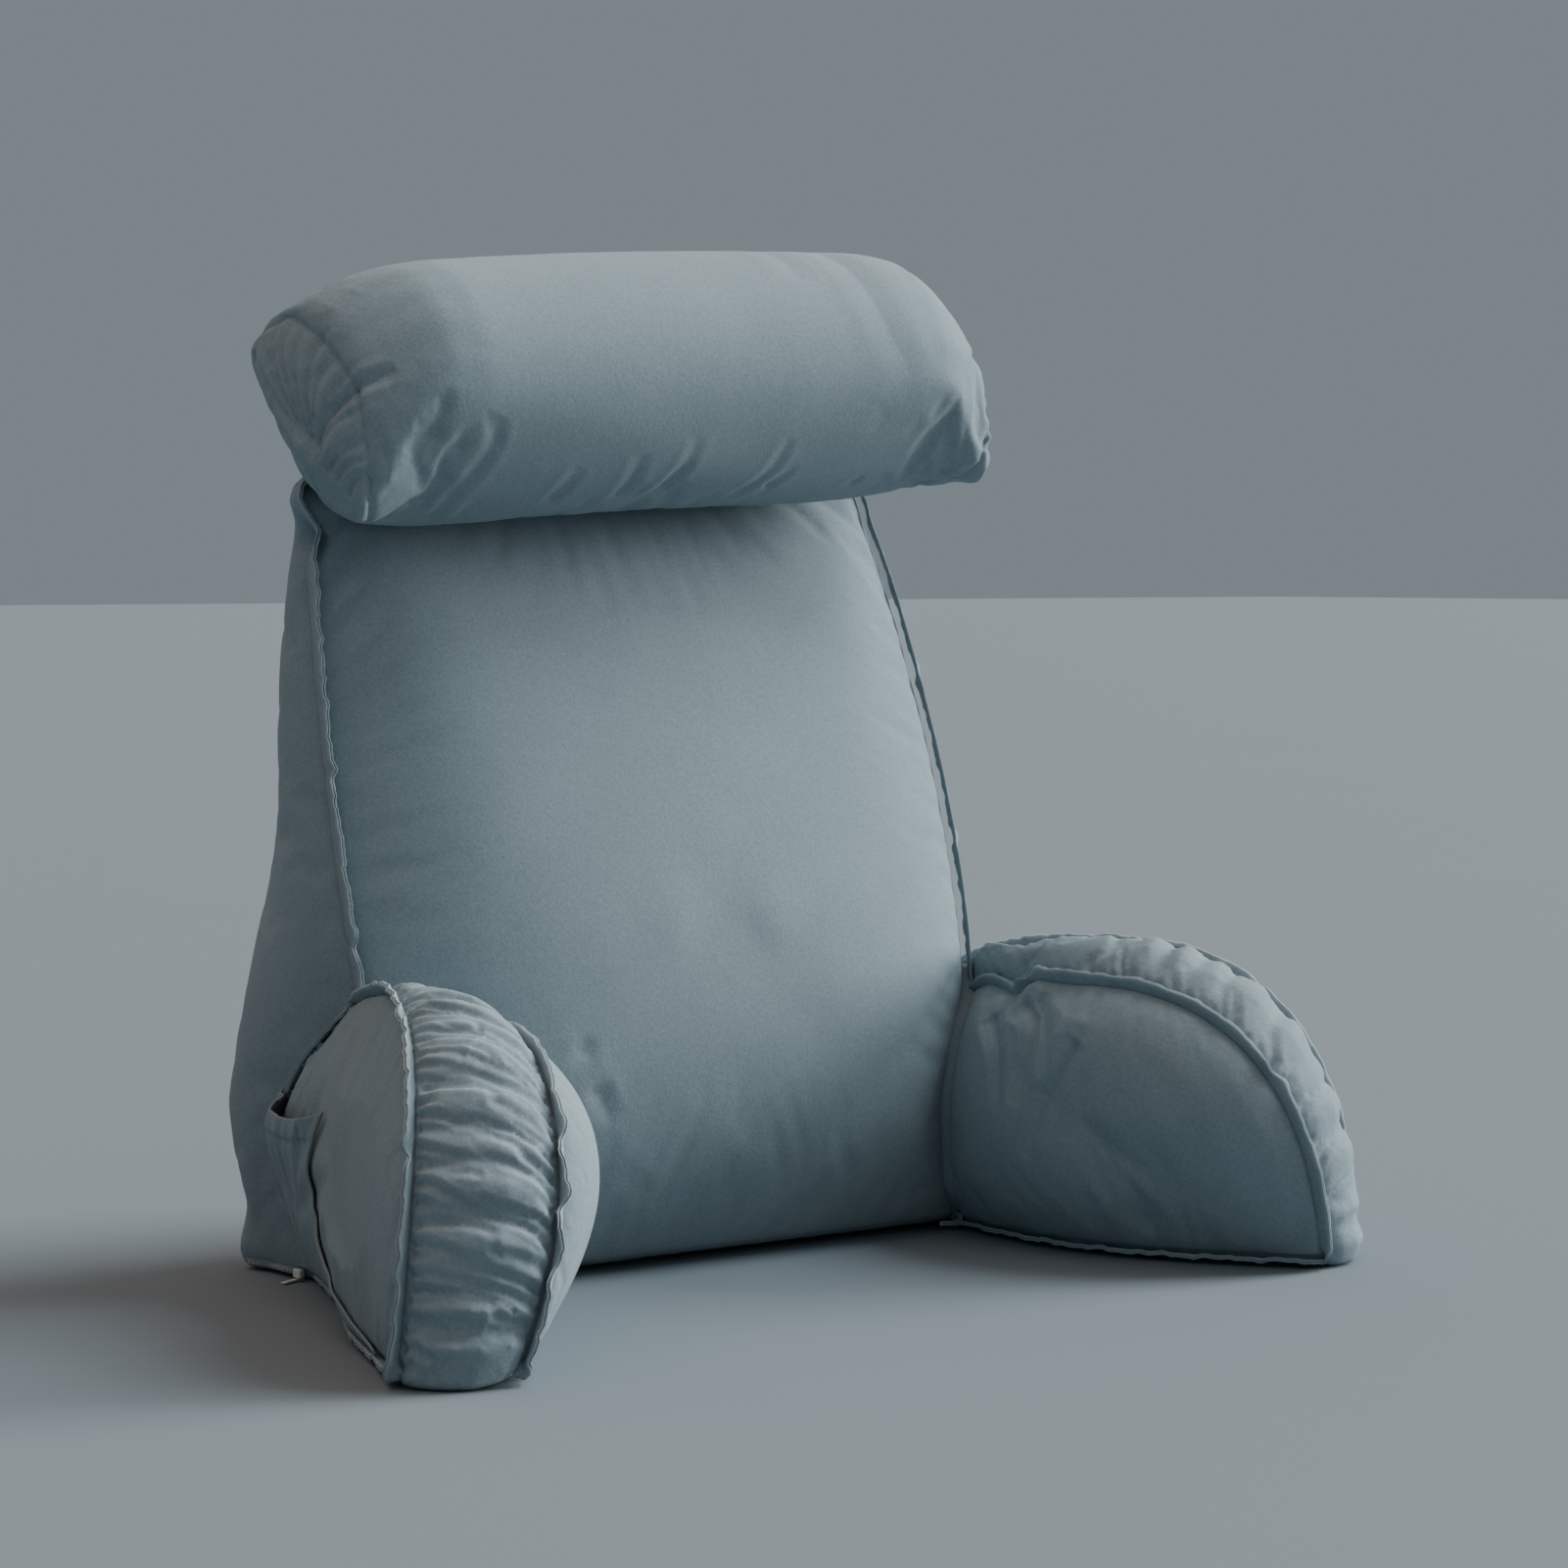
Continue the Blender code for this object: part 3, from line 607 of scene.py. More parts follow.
def arm_seams(place):
    """The inner and the outer seam of an arm."""
    put = arm_placer(place)
    inner = arm_outline(place.length, ARM_INNER_HEIGHT, ARM_INNER_CREST, ARM_INNER_REACH,
                        ARM_INNER_REAR_ROUNDNESS)
    inner = even_loop(inner, SEAM_STEP)
    over_base = smooth_step((inner[:, 2] - SEAM_LIFT) / (20 * MM))
    pinch = np.exp(-((inner[:, 0] - ARM_NOTCH_AT) / ARM_NOTCH_WIDTH) ** 2)
    inner[:, 2] -= ARM_NOTCH_DEPTH * pinch * over_base
    follow = smooth_step(-inner[:, 0] / ARM_INNER_REACH + 1)
    inner[:, 0] -= ARM_REAR_LEAN * follow * inner[:, 2] / ARM_INNER_HEIGHT
    inner[:, 1] = arm_depth(inner, ARM_INNER_SEAM, place.length, ARM_INNER_HEIGHT)
    outer = arm_outline(place.length, ARM_OUTER_HEIGHT, ARM_OUTER_CREST, ARM_OUTER_REACH,
                        ARM_OUTER_REAR_ROUNDNESS)
    outer = even_loop(outer, SEAM_STEP)
    outer[:, 1] = arm_depth(outer, ARM_OUTER_SEAM, place.length, ARM_OUTER_HEIGHT)
    return placed_seam(inner, -1, put, INNER_FLANGE_LEAN), placed_seam(outer, 1, put)


def roll_end_line(side):
    """The half-moon seam of one end of the roll."""
    swing = np.linspace(0, 2 * math.pi, END_POINTS, endpoint=False) - END_LEAN
    long_way = np.cos(swing) * END_HALF_LONG
    short_way = np.sin(swing) * np.where(np.sin(swing) > 0, END_FRONT_ARC, END_REAR_ARC)
    deep = long_way * math.cos(END_LEAN) - short_way * math.sin(END_LEAN) + END_CENTRE[0]
    up = long_way * math.sin(END_LEAN) + short_way * math.cos(END_LEAN) + END_CENTRE[1]
    return np.column_stack([
        np.full(END_POINTS, ROLL_CENTRE.x + side * ROLL_HALF_LENGTH),
        ROLL_CENTRE.y + deep,
        ROLL_CENTRE.z + up + side * ROLL_RISE,
    ])


# Mesh helpers

def coordinates(mesh):
    flat = np.empty(len(mesh.vertices) * 3)
    mesh.vertices.foreach_get("co", flat)
    return flat.reshape(-1, 3)


def normals(mesh):
    flat = np.empty(len(mesh.vertices) * 3)
    mesh.vertex_normals.foreach_get("vector", flat)
    return flat.reshape(-1, 3)


def move_to(mesh, places):
    mesh.vertices.foreach_set("co", np.ascontiguousarray(places).ravel())
    mesh.update()


def tree_of(mesh):
    """A mesh's surface, ready to be searched."""
    return BVHTree.FromPolygons([tuple(row) for row in coordinates(mesh)],
                                [tuple(face.vertices) for face in mesh.polygons])


def distance_to(line, places):
    """How far each place is from a line's points, and which point is the nearest."""
    tree = KDTree(len(line))
    for index, point in enumerate(line):
        tree.insert(point, index)
    tree.balance()
    found = [tree.find(place)[1:] for place in places]
    return np.array([far for _, far in found]), np.array([index for index, _ in found])


def link_piece(name, mesh, material):
    """Makes a mesh a piece of the scene in one material."""
    mesh.materials.clear()
    mesh.materials.append(material)
    mesh.shade_smooth()
    piece = bpy.data.objects.new(name, mesh)
    bpy.context.collection.objects.link(piece)
    return piece


def piece_from(shape, name, material):
    """Makes a finished bmesh a piece of the scene."""
    mesh = bpy.data.meshes.new(name)
    shape.to_mesh(mesh)
    shape.free()
    return link_piece(name, mesh, material)


def settle_modifiers(piece):
    """Applies what modifiers there are, so that the mesh itself has the shape."""
    bpy.context.view_layer.update()
    ready = piece.evaluated_get(bpy.context.evaluated_depsgraph_get())
    mesh = bpy.data.meshes.new_from_object(ready)
    piece.modifiers.clear()
    piece.data = mesh
    mesh.shade_smooth()


def thicken(piece, thickness, offset):
    """Gives a single layer of cloth its thickness."""
    solid = piece.modifiers.new("thickness", "SOLIDIFY")
    solid.thickness = thickness
    solid.offset = offset
    settle_modifiers(piece)


def clear_of(piece, tree, gap):
    """Moves what lies too near to another piece, or inside it, back out to a gap."""
    places = coordinates(piece.data)
    for index, place in enumerate(places):
        point, normal, _, far = tree.find_nearest(Vector(place), 12 * MM)
        if point is None:
            continue
        height = (Vector(place) - point).dot(normal)
        if height < gap:
            places[index] = point + normal * gap
    move_to(piece.data, places)


# Cloth

def even_cover(name, node, voxel, seams, material):
    """A cover's start: the solid without its flanges, meshed evenly."""
    mesh = bpy.data.meshes[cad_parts[node].data.name].copy()
    shape = bmesh.new()
    shape.from_mesh(mesh)
    bmesh.ops.remove_doubles(shape, verts=shape.verts, dist=0.02 * MM)
    places = np.array([vert.co for vert in shape.verts])
    for seam in seams:
        far, nearest = distance_to(seam.points, places)
        for vert, gap, index in zip(shape.verts, far, nearest):
            if gap < FLANGE_REACH:
                vert.co = seam.points[index]
    shape.to_mesh(mesh)
    shape.free()
    piece = link_piece(name, mesh, material)
    remesh = piece.modifiers.new("even", "REMESH")
    remesh.mode = "VOXEL"
    remesh.voxel_size = voxel
    smooth = piece.modifiers.new("soft", "SMOOTH")
    smooth.factor = 0.5
    smooth.iterations = 6
    settle_modifiers(piece)
    return piece


def near_piece(places, tree, reach):
    """Which places lie within reach of another piece."""
    return np.array([tree.find_nearest(Vector(place), reach)[0] is not None for place in places])


def held_still(piece, lines, trees, hold):
    """Which of a cover's points are held by its seams, its neighbours and the ground."""
    places = coordinates(piece.data)
    held = places[:, 2] < hold.ground
    for line in lines:
        held |= distance_to(line, places)[0] < hold.seams
    for tree in trees:
        held |= near_piece(places, tree, hold.neighbours)
    return held


def puff(piece, held, pressure, slack):
    """Blows the cover up in the cloth simulation, while its seams and its seat are held."""
    start = coordinates(piece.data)
    group = piece.vertex_groups.new(name="held")
    group.add(np.nonzero(held)[0].tolist(), 1.0, "REPLACE")
    cloth = piece.modifiers.new("cloth", "CLOTH")
    settings = cloth.settings
    settings.quality = 4
    settings.mass = 0.3
    settings.tension_stiffness = settings.compression_stiffness = 12
    settings.shear_stiffness = 5
    settings.bending_stiffness = 0.4
    settings.use_pressure = True
    settings.uniform_pressure_force = pressure
    settings.shrink_min = -slack
    settings.vertex_group_mass = group.name
    settings.effector_weights.gravity = 0
    cloth.collision_settings.use_collision = False
    cloth.collision_settings.use_self_collision = False
    cloth.point_cache.frame_start = 1
    cloth.point_cache.frame_end = PUFF_FRAMES
    for number in range(1, PUFF_FRAMES + 1):
        bpy.context.scene.frame_set(number)
    ready = piece.evaluated_get(bpy.context.evaluated_depsgraph_get())
    moved = coordinates(ready.to_mesh()) - start
    far = np.linalg.norm(moved, axis=1, keepdims=True)
    moved *= np.minimum(1.0, PUFF_CAP / np.maximum(far, 1e-9))
    piece.modifiers.clear()
    piece.vertex_groups.clear()
    move_to(piece.data, start + moved)
    bpy.context.scene.frame_set(1)


def finer(piece):
    """One subdivision, applied."""
    fine = piece.modifiers.new("fine", "SUBSURF")
    fine.levels = 1
    fine.render_levels = 1
    settle_modifiers(piece)


def snap(places, ways, chosen, targets, gaps):
    """Moves the points nearest to a line onto it, along the surface, so that it is crisp."""
    near = gaps < SNAP
    points = chosen[near]
    pull = (targets[near] - places[points]) * 0.85
    pull -= ways[points] * np.sum(pull * ways[points], axis=1, keepdims=True)
    places[points] += pull


def press(piece, creases, seam_lines, channel):
    """Presses creases and sewn channels into a cover along its own normals."""
    seam_width, seam_depth = channel
    mesh = piece.data
    places = coordinates(mesh)
    ways = normals(mesh)
    sink = np.zeros(len(places))
    rise = np.zeros(len(places))
    for crease in creases:
        reach = 3.5 * crease.width
        near = np.all((places > crease.path.min(axis=0) - reach)
                      & (places < crease.path.max(axis=0) + reach), axis=1)
        chosen = np.nonzero(near)[0]
        if not len(chosen):
            continue
        gaps = np.linalg.norm(places[chosen][:, None] - crease.path[None], axis=2)
        nearest = gaps.argmin(axis=1)
        gap = gaps[np.arange(len(chosen)), nearest] / crease.width
        share = nearest / max(len(crease.path) - 1, 1)
        along = crease.depth * smooth_step(share / 0.1 + 0.3) * (1 - share) ** crease.fade
        sink[chosen] = np.maximum(sink[chosen], along * np.exp(-gap ** 1.15))
        side = along * crease.ridge * np.exp(-((gap - 2.0) / 0.9) ** 2)
        rise[chosen] = np.maximum(rise[chosen], side)
        if crease.width < CRISP:
            snap(places, ways, chosen, crease.path[nearest], gap * crease.width)
    sink -= rise * (1 - np.minimum(sink / (1 * MM), 1))
    for line in seam_lines:
        far, nearest = distance_to(line, places)
        sink += seam_depth * np.exp(-(far / seam_width) ** 1.2)
        snap(places, ways, np.arange(len(places)), line[nearest], far)
    places -= ways * sink[:, None]
    places[:, 2] = np.maximum(places[:, 2], 0.0)
    move_to(mesh, places)


def pull_out(piece, ear):
    """Draws a corner of the cloth out into an ear."""
    places = coordinates(piece.data)
    far = np.linalg.norm(places - np.array(ear.centre) * MM, axis=1) / (ear.reach * MM)
    places += np.array(ear.shift) * MM * (smooth_step(1 - far) ** 1.5)[:, None]
    places[:, 2] = np.maximum(places[:, 2], 0.0)
    move_to(piece.data, places)


def on_cover(tree, path):
    """The path, laid on a cover's surface."""
    return np.array([tree.find_nearest(Vector(point))[0] for point in path])


def folded(tree, folds):
    """The folds of a table as creases on a cover."""
    creases = []
    for fold in folds:
        corners = np.array(fold.points, dtype=float) * MM
        run = run_along(corners)
        places = np.linspace(0, run[-1], max(int(run[-1] / FOLD_STEP), 4))
        path = on_cover(tree, curve_through(run, corners, places))
        creases.append(Crease(path, fold.width * MM, fold.depth * MM, fade=0.5, ridge=0.35))
    return creases


def gathers(tree, start_seam, end_seam, pitch, kind, slant, seed):
    """Puckers that run from one seam of an arm's band towards the other, bowed upwards."""
    draw = random.Random(seed)
    total = np.linalg.norm(start_seam.points[1] - start_seam.points[0]) * len(start_seam.points)
    creases = []
    at = GATHER_FIRST
    while at < GATHER_LAST:
        start = start_seam.points[int(at * len(start_seam.points)) % len(start_seam.points)]
        over = at + slant * smooth_step((at - 0.25) / 0.25)
        goal = end_seam.points[int(over * len(end_seam.points)) % len(end_seam.points)]
        length = draw.choice(kind.lengths)
        shares = np.linspace(GATHER_START, length, GATHER_POINTS)[:, None]
        bow = np.array([0, 0, 1.0]) * GATHER_BOW * draw.uniform(*GATHER_BOWS)
        path = start + (goal - start) * shares + bow * 4 * shares * (1 - shares)
        stray = draw.uniform(-GATHER_WANDER, GATHER_WANDER) * MM
        path += stray * np.array([0, 1.0, 1.0]) * shares
        depth = draw.uniform(kind.shallow, kind.deep) * MM
        width = draw.uniform(*GATHER_WIDTHS) * MM
        creases.append(Crease(on_cover(tree, path), width, depth, fade=0.7, ridge=0.4))
        at += draw.uniform(*GATHER_SPACING) * pitch / total
    return creases


def other_end(point):
    """The like place at the other end of the roll, in millimetres."""
    out = ROLL_CENTRE.x / MM - point[0]
    lift = 2 * (ROLL_RISE / MM) * out / (ROLL_HALF_LENGTH / MM)
    return (ROLL_CENTRE.x / MM + out, point[1], point[2] + lift)


def end_folds():
    """The puckers of both ends of the roll."""
    return ROLL_END_FOLDS + tuple(
        fold._replace(points=tuple(other_end(point) for point in fold.points))
        for fold in ROLL_END_FOLDS)


def end_seams(tree):
    """The seams round both ends of the roll, on its cover."""
    left = np.array(ROLL_END_SEAM)
    right = np.array([other_end(point) for point in ROLL_END_SEAM])
    return [on_cover(tree, rounded_loop(line * MM, 1.2 * MM)) for line in (left, right)]


# Flanges

def closes(points):
    """Whether a line's last point lies a step from its first."""
    return np.linalg.norm(points[-1] - points[0]) < 2 * np.linalg.norm(points[1] - points[0])


def longest_run(shown):
    """The longest unbroken run of true entries in a closed line, in its own order."""
    count = len(shown)
    if shown.all():
        return np.arange(count)
    best = (0, 0)
    for start in np.nonzero(shown & ~np.roll(shown, 1))[0]:
        around = shown[(start + np.arange(count)) % count]
        best = max(best, (int(np.argmin(around)), int(start)))
    return (best[1] + np.arange(best[0])) % count


def flange(name, seam, height, thickness, seed, material, shown, notches=()):
    """The doubled cloth edge that stands on a seam, wavy and notched as the sewing left it."""
    order = longest_run(shown)
    step = np.linalg.norm(seam.points[1] - seam.points[0])
    run = np.unwrap(order * step, period=len(shown) * step)
    tall = np.broadcast_to(height, len(seam.points))[order]
    tall = tall * (1 + FLANGE_UNEVEN * wander(run, FLANGE_WAVE, seed))
    tall *= np.where(seam.is_base[order], BASE_FLANGE_SHARE, 1.0)
    sway = (SLOW_SWAY * wander(run, SLOW_WAVE, seed + 1)
            + QUICK_SWAY * wander(run, QUICK_WAVE, seed + 2))
    for notch in notches:
        far = np.linalg.norm(seam.points - np.array(notch.centre) * MM, axis=1)
        here = int(far.argmin())
        offset = (order - here + len(shown) // 2) % len(shown) - len(shown) // 2
        offset = offset * (run[1] - run[0]) / (notch.length * MM)
        tall *= 1 - notch.dip * np.exp(-(offset / 0.5) ** 2)
        tall *= 1 + notch.swell * np.exp(-((np.abs(offset) - 1.1) / 0.7) ** 2)
        sway += notch.kink * MM * offset * np.exp(-offset ** 2)
    is_closed = len(order) == len(shown) and closes(seam.points)
    if not is_closed:
        ends = np.minimum(np.arange(len(order)), np.arange(len(order))[::-1])
        tall *= 0.35 + 0.65 * smooth_step(ends / 5)
    shape = bmesh.new()
    ring = len(FLANGE_SECTION)
    rows = len(order) - 1 + int(is_closed)
    grid = bmesh.ops.create_grid(shape, x_segments=ring, y_segments=rows, size=1)
    worn = []
    for index, vert in enumerate(grid["verts"]):
        row, column = divmod(index, ring + 1)
        row %= len(order)
        wide, high = FLANGE_SECTION[column % ring]
        station = order[row]
        over = seam.lean[station] * high * tall[row]
        aside = seam.across[station] * (wide * thickness + sway[row] * max(high, 0.0) ** 1.5)
        vert.co = seam.points[station] + over + aside
        # the outer faces near the flange's tip are marked for a painted highlight, paler where
        # light catches the raised edge
        worn.append(max(high - 0.5, 0.0) * 2 if abs(wide) > 0.2 else 0.0)
    layer = shape.verts.layers.float.new("worn")
    for vert, share in zip(shape.verts, worn):
        vert[layer] = share
    bmesh.ops.remove_doubles(shape, verts=shape.verts, dist=0.01 * MM)
    rims = [edge for edge in shape.edges if edge.is_boundary]
    if rims:
        bmesh.ops.holes_fill(shape, edges=rims, sides=0)
    bmesh.ops.recalc_face_normals(shape, faces=shape.faces)
    piece = piece_from(shape, name, material)
    places = coordinates(piece.data)
    places[:, 2] = np.maximum(places[:, 2], FLANGE_GROUND)
    move_to(piece.data, places)
    return piece


def junction(arm, back, side, outer):
    """The line where an arm's cover meets the back, on its outer or its inner side, as a seam."""
    places = coordinates(arm.data)
    places = places[near_piece(places, back, JUNCTION_REACH)]
    rows = []
    for level in np.arange(JUNCTION_LEVEL, JUNCTION_TOP, JUNCTION_LEVEL):
        ring = places[np.abs(places[:, 2] - level) < 2.2 * MM]
        if len(ring) > 3:
            out = side * ring[:, 0] + ring[:, 1]
            rows.append(ring[out.argmax() if outer else out.argmin()])
    line = np.array(rows)
    for _ in range(4):
        line[1:-1] = (line[:-2] + 2 * line[1:-1] + line[2:]) / 4
    away = np.array([0.0, 1.0, 0.0]) if outer else np.array([-side, 0.0, 0.0])
    line = even_line(line, SEAM_STEP) + away * JUNCTION_OFFSET
    lean = np.array([back.find_nearest(Vector(point))[1] for point in line])
    step = unit(np.gradient(line, axis=0))
    lean = unit(lean - step * np.sum(lean * step, axis=1, keepdims=True))
    return Seam(line, lean, np.cross(step, lean), np.zeros(len(line), dtype=bool))


def stands_free(seam, height, back):
    """Which stations of a seam's flange stand outside the back."""
    free = np.ones(len(seam.points), dtype=bool)
    for index, point in enumerate(seam.points):
        tip = Vector(point + seam.lean[index] * height)
        near, normal, _, _ = back.find_nearest(tip)
        free[index] = (tip - near).dot(normal) > 1.5 * MM
    return free


# Materials

def linear(code):
    """An sRGB hex colour as linear red, green and blue."""
    parts = [int(code[place:place + 2], 16) / 255 for place in (0, 2, 4)]
    return tuple(part / 12.92 if part <= 0.04045 else ((part + 0.055) / 1.055) ** 2.4
                 for part in parts)


# Colour of the painted highlight along the flange tips, where light catches them
PAINTED_TIP_HIGHLIGHT = linear("A4B2B8")


def add_node(tree, kind, settings=None, links=None):
    """Adds a node, sets its sockets or its own fields, and links what feeds it."""
    node = tree.nodes.new(kind)
    for name, value in (settings or {}).items():
        if isinstance(name, int) or name in node.inputs:
            node.inputs[name].default_value = value
        else:
            setattr(node, name, value)
    for name, source in (links or {}).items():
        tree.links.new(source, node.inputs[name])
    return node


def start_material(name, roughness):
    """A new material, with its nodes, its shader and its own coordinates."""
    material = bpy.data.materials.new(name)
    material.use_nodes = True
    tree = material.node_tree
    shader = tree.nodes["Principled BSDF"]
    shader.inputs["Roughness"].default_value = roughness
    return material, tree, shader, add_node(tree, "ShaderNodeTexCoord").outputs["Object"]


def brushed_cotton(name, shade, light, nap_depth):
    """Washed cotton with a short brushed nap: matt, finely grained, with a painted highlight along
    its flange tips.
    """
    material, tree, shader, place = start_material(name, 0.95)
    # slow changes from washing, over about 60 mm
    wash = add_node(tree, "ShaderNodeTexNoise", {"Scale": 1 / 0.06, "Detail": 3.0},
                    {"Vector": place})
    # tufts of the nap: 1 mm in the cloth, drawn 2.2 mm wide so that they show
    nap = add_node(tree, "ShaderNodeTexNoise",
                   {"Scale": 1 / 0.0022, "Detail": 3.0, "Roughness": 0.6}, {"Vector": place})
    # single fibres: drawn 0.8 mm apart
    fibre = add_node(tree, "ShaderNodeTexNoise", {"Scale": 1 / 0.0008, "Detail": 1.0},
                     {"Vector": place})
    tone = add_node(tree, "ShaderNodeMath", {"operation": "MULTIPLY_ADD", 1: 0.3},
                    {0: wash.outputs["Fac"], 2: nap.outputs["Fac"]})
    spread = add_node(tree, "ShaderNodeMapRange",
                      {"From Min": 0.3, "From Max": 1.0}, {"Value": tone.outputs[0]})
    tones = {"data_type": "RGBA", 6: (*shade, 1.0), 7: (*light, 1.0)}
    cloth = add_node(tree, "ShaderNodeMix", tones, {0: spread.outputs["Result"]})
    # painted highlight: the flange tips are mixed towards a paler colour, where light catches them
    worn = add_node(tree, "ShaderNodeAttribute", {"attribute_name": "worn"})
    highlight_strength = add_node(tree, "ShaderNodeMath", {"operation": "MULTIPLY", 1: 0.6},
                     {0: worn.outputs["Fac"]})
    edge = add_node(tree, "ShaderNodeMix", {"data_type": "RGBA", 7: (*PAINTED_TIP_HIGHLIGHT, 1.0)},
                    {0: highlight_strength.outputs[0], 6: cloth.outputs[2]})
    tree.links.new(edge.outputs[2], shader.inputs["Base Color"])
    height = add_node(tree, "ShaderNodeMath", {"operation": "MULTIPLY_ADD", 1: 0.5},
                      {0: fibre.outputs["Fac"], 2: nap.outputs["Fac"]})
    bump = add_node(tree, "ShaderNodeBump", {"Strength": 0.45, "Distance": nap_depth},
                    {"Height": height.outputs[0]})
    tree.links.new(bump.outputs["Normal"], shader.inputs["Normal"])
    shader.inputs["Specular IOR Level"].default_value = 0.2
    shader.inputs["Sheen Weight"].default_value = 0.18
    shader.inputs["Sheen Roughness"].default_value = 0.5
    shader.inputs["Sheen Tint"].default_value = (*light, 1.0)
    return material


def uneven_material(name, roughness, colour, darker, patch):
    """A matt or glossy material whose colour darkens softly in patches of a size in metres."""
    material, tree, shader, place = start_material(name, roughness)
    cloud = add_node(tree, "ShaderNodeTexNoise", {"Scale": 1 / patch}, {"Vector": place})
    tones = {"data_type": "RGBA", 6: (*colour, 1.0),
             7: (*(darker * part for part in colour), 1.0)}
    mix = add_node(tree, "ShaderNodeMix", tones, {0: cloud.outputs["Fac"]})
    tree.links.new(mix.outputs[2], shader.inputs["Base Color"])
    return material


def moulded_plastic(name, colour):
    """Acetal, as zips are moulded from: pale, a little glossy, uneven over 3 mm."""
    return uneven_material(name, 0.42, colour, 0.8, 0.003)


def studio_paint(name, colour):
    """Matt paint on a seamless studio floor, hardly uneven over about 0.8 m."""
    return uneven_material(name, 0.9, colour, 0.97, 1 / 1.2)


# Settings

class PillowClothSettings(bpy.types.PropertyGroup):
    shade: FloatVectorProperty(name="Cloth shade", description="Colour in the nap's hollows",
                               subtype="COLOR", size=3, min=0, max=1, default=linear("76858C"))
    light: FloatVectorProperty(name="Cloth light", description="Colour of the nap's tips",
                               subtype="COLOR", size=3, min=0, max=1, default=linear("8C9CA3"))
    nap_depth: FloatProperty(name="Nap depth", description="Height of the brushed nap",
                             default=0.5 * MM, min=0, unit="LENGTH")
    pressure: FloatProperty(name="Filling pressure", description="How hard the filling presses",
                            default=4.0, min=0)
    slack: FloatProperty(name="Slack", description="How much larger the cloth is than its cushion",
                         default=0.015, min=0, max=0.2)
    back_voxel: FloatProperty(name="Back mesh", description="Mesh size on the back cushion",
                              default=6.3 * MM, min=3 * MM, unit="LENGTH")
    arm_voxel: FloatProperty(name="Arm mesh", description="Mesh size on the arms",
                             default=3.6 * MM, min=2 * MM, unit="LENGTH")
    roll_voxel: FloatProperty(name="Roll mesh", description="Mesh size on the neck roll",
                              default=4.13 * MM, min=2 * MM, unit="LENGTH")


class PillowSeamSettings(bpy.types.PropertyGroup):
    flange_height: FloatProperty(name="Flange height", description="How far seam edges stand up",
                                 default=7 * MM, min=1 * MM, unit="LENGTH")
    flange_thickness: FloatProperty(name="Flange thickness", description="Two layers of cloth",
                                    default=3.2 * MM, min=1 * MM, unit="LENGTH")
    gather_pitch: FloatProperty(name="Gather pitch", description="Between an arm's puckers",
                                default=10 * MM, min=4 * MM, unit="LENGTH")
    seed: IntProperty(name="Seed", description="Changes where the puckers fall", default=7)


class PillowStageSettings(bpy.types.PropertyGroup):
    floor: FloatVectorProperty(name="Floor", description="Colour of the studio floor",
                               subtype="COLOR", size=3, min=0, max=1, default=linear("6E7B83"))
    low_key_strength: FloatProperty(name="Low key light", description="Strength of the low light",
                                    default=4.2, min=0)
    high_key_strength: FloatProperty(name="High key light",
                                     description="Strength of the high light",
                                     default=2.45, min=0)
    front_strength: FloatProperty(name="Front light", description="Strength of the front light",
                                  default=0.32, min=0)
    top_strength: FloatProperty(name="Top light", description="Strength of the light overhead",
                                default=1.1, min=0)
    fill_strength: FloatProperty(name="Fill", description="Strength of the even room light",
                                 default=1.0, min=0)


def cloth_material():
    """The one cotton that all the covers share."""
    cloth = bpy.context.scene.pillow_cloth
    found = bpy.data.materials.get("brushed_cotton")
    return found or brushed_cotton("brushed_cotton", cloth.shade, cloth.light, cloth.nap_depth)


def finish_piece(piece, slot, *nodes):
    """Says what a piece rides on and hides the solids that it stands for; the slot is not used."""
    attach(piece, "root")
    if nodes:
        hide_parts(*nodes)


# Builders


def build_back():
    """Puffs the back cushion's cover, presses its folds and sews its front flange."""
    cloth = bpy.context.scene.pillow_cloth
    seams = bpy.context.scene.pillow_seams
    material = cloth_material()
    front = back_seam("front_half_width", "front_y", -1)
    rear = back_seam("rear_half_width", "rear_y", 1)
    piece = even_cover("back_cover", "back_cushion", cloth.back_voxel, [front], material)
    arms = [tree_of(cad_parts[node].data) for node in ARM_PLACES]
    roll = tree_of(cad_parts["neck_roll"].data)
    held = held_still(piece, [front.points, rear.points], arms, BACK_HOLD)
    puff(piece, held, cloth.pressure, cloth.slack / 2)
    finer(piece)
    creases = folded(tree_of(piece.data), BACK_FOLDS)
    press(piece, [], [front.points], BACK_EDGE_FALL)
    press(piece, creases, [front.points], BACK_FRONT_CHANNEL)
    press(piece, [], [rear.points], BACK_REAR_CHANNEL)
    shown = ~front.is_base | (np.abs(front.points[:, 0]) > BASE_FLANGE_FROM)
    lower = 1 - BACK_RIGHT_SINK * rightness(front.points[:, 0])
    edge = flange("back_flange", front, seams.flange_height * lower, seams.flange_thickness,
                  seams.seed, material, shown, BACK_NOTCHES)
    for ear in BACK_EARS:
        pull_out(piece, ear)
        pull_out(edge, ear)
    clear_of(piece, roll, EDGE_GAP)
    clear_of(edge, roll, EDGE_GAP)
    finish_piece(piece, "cover", "back_cushion")
    finish_piece(edge, "cover")


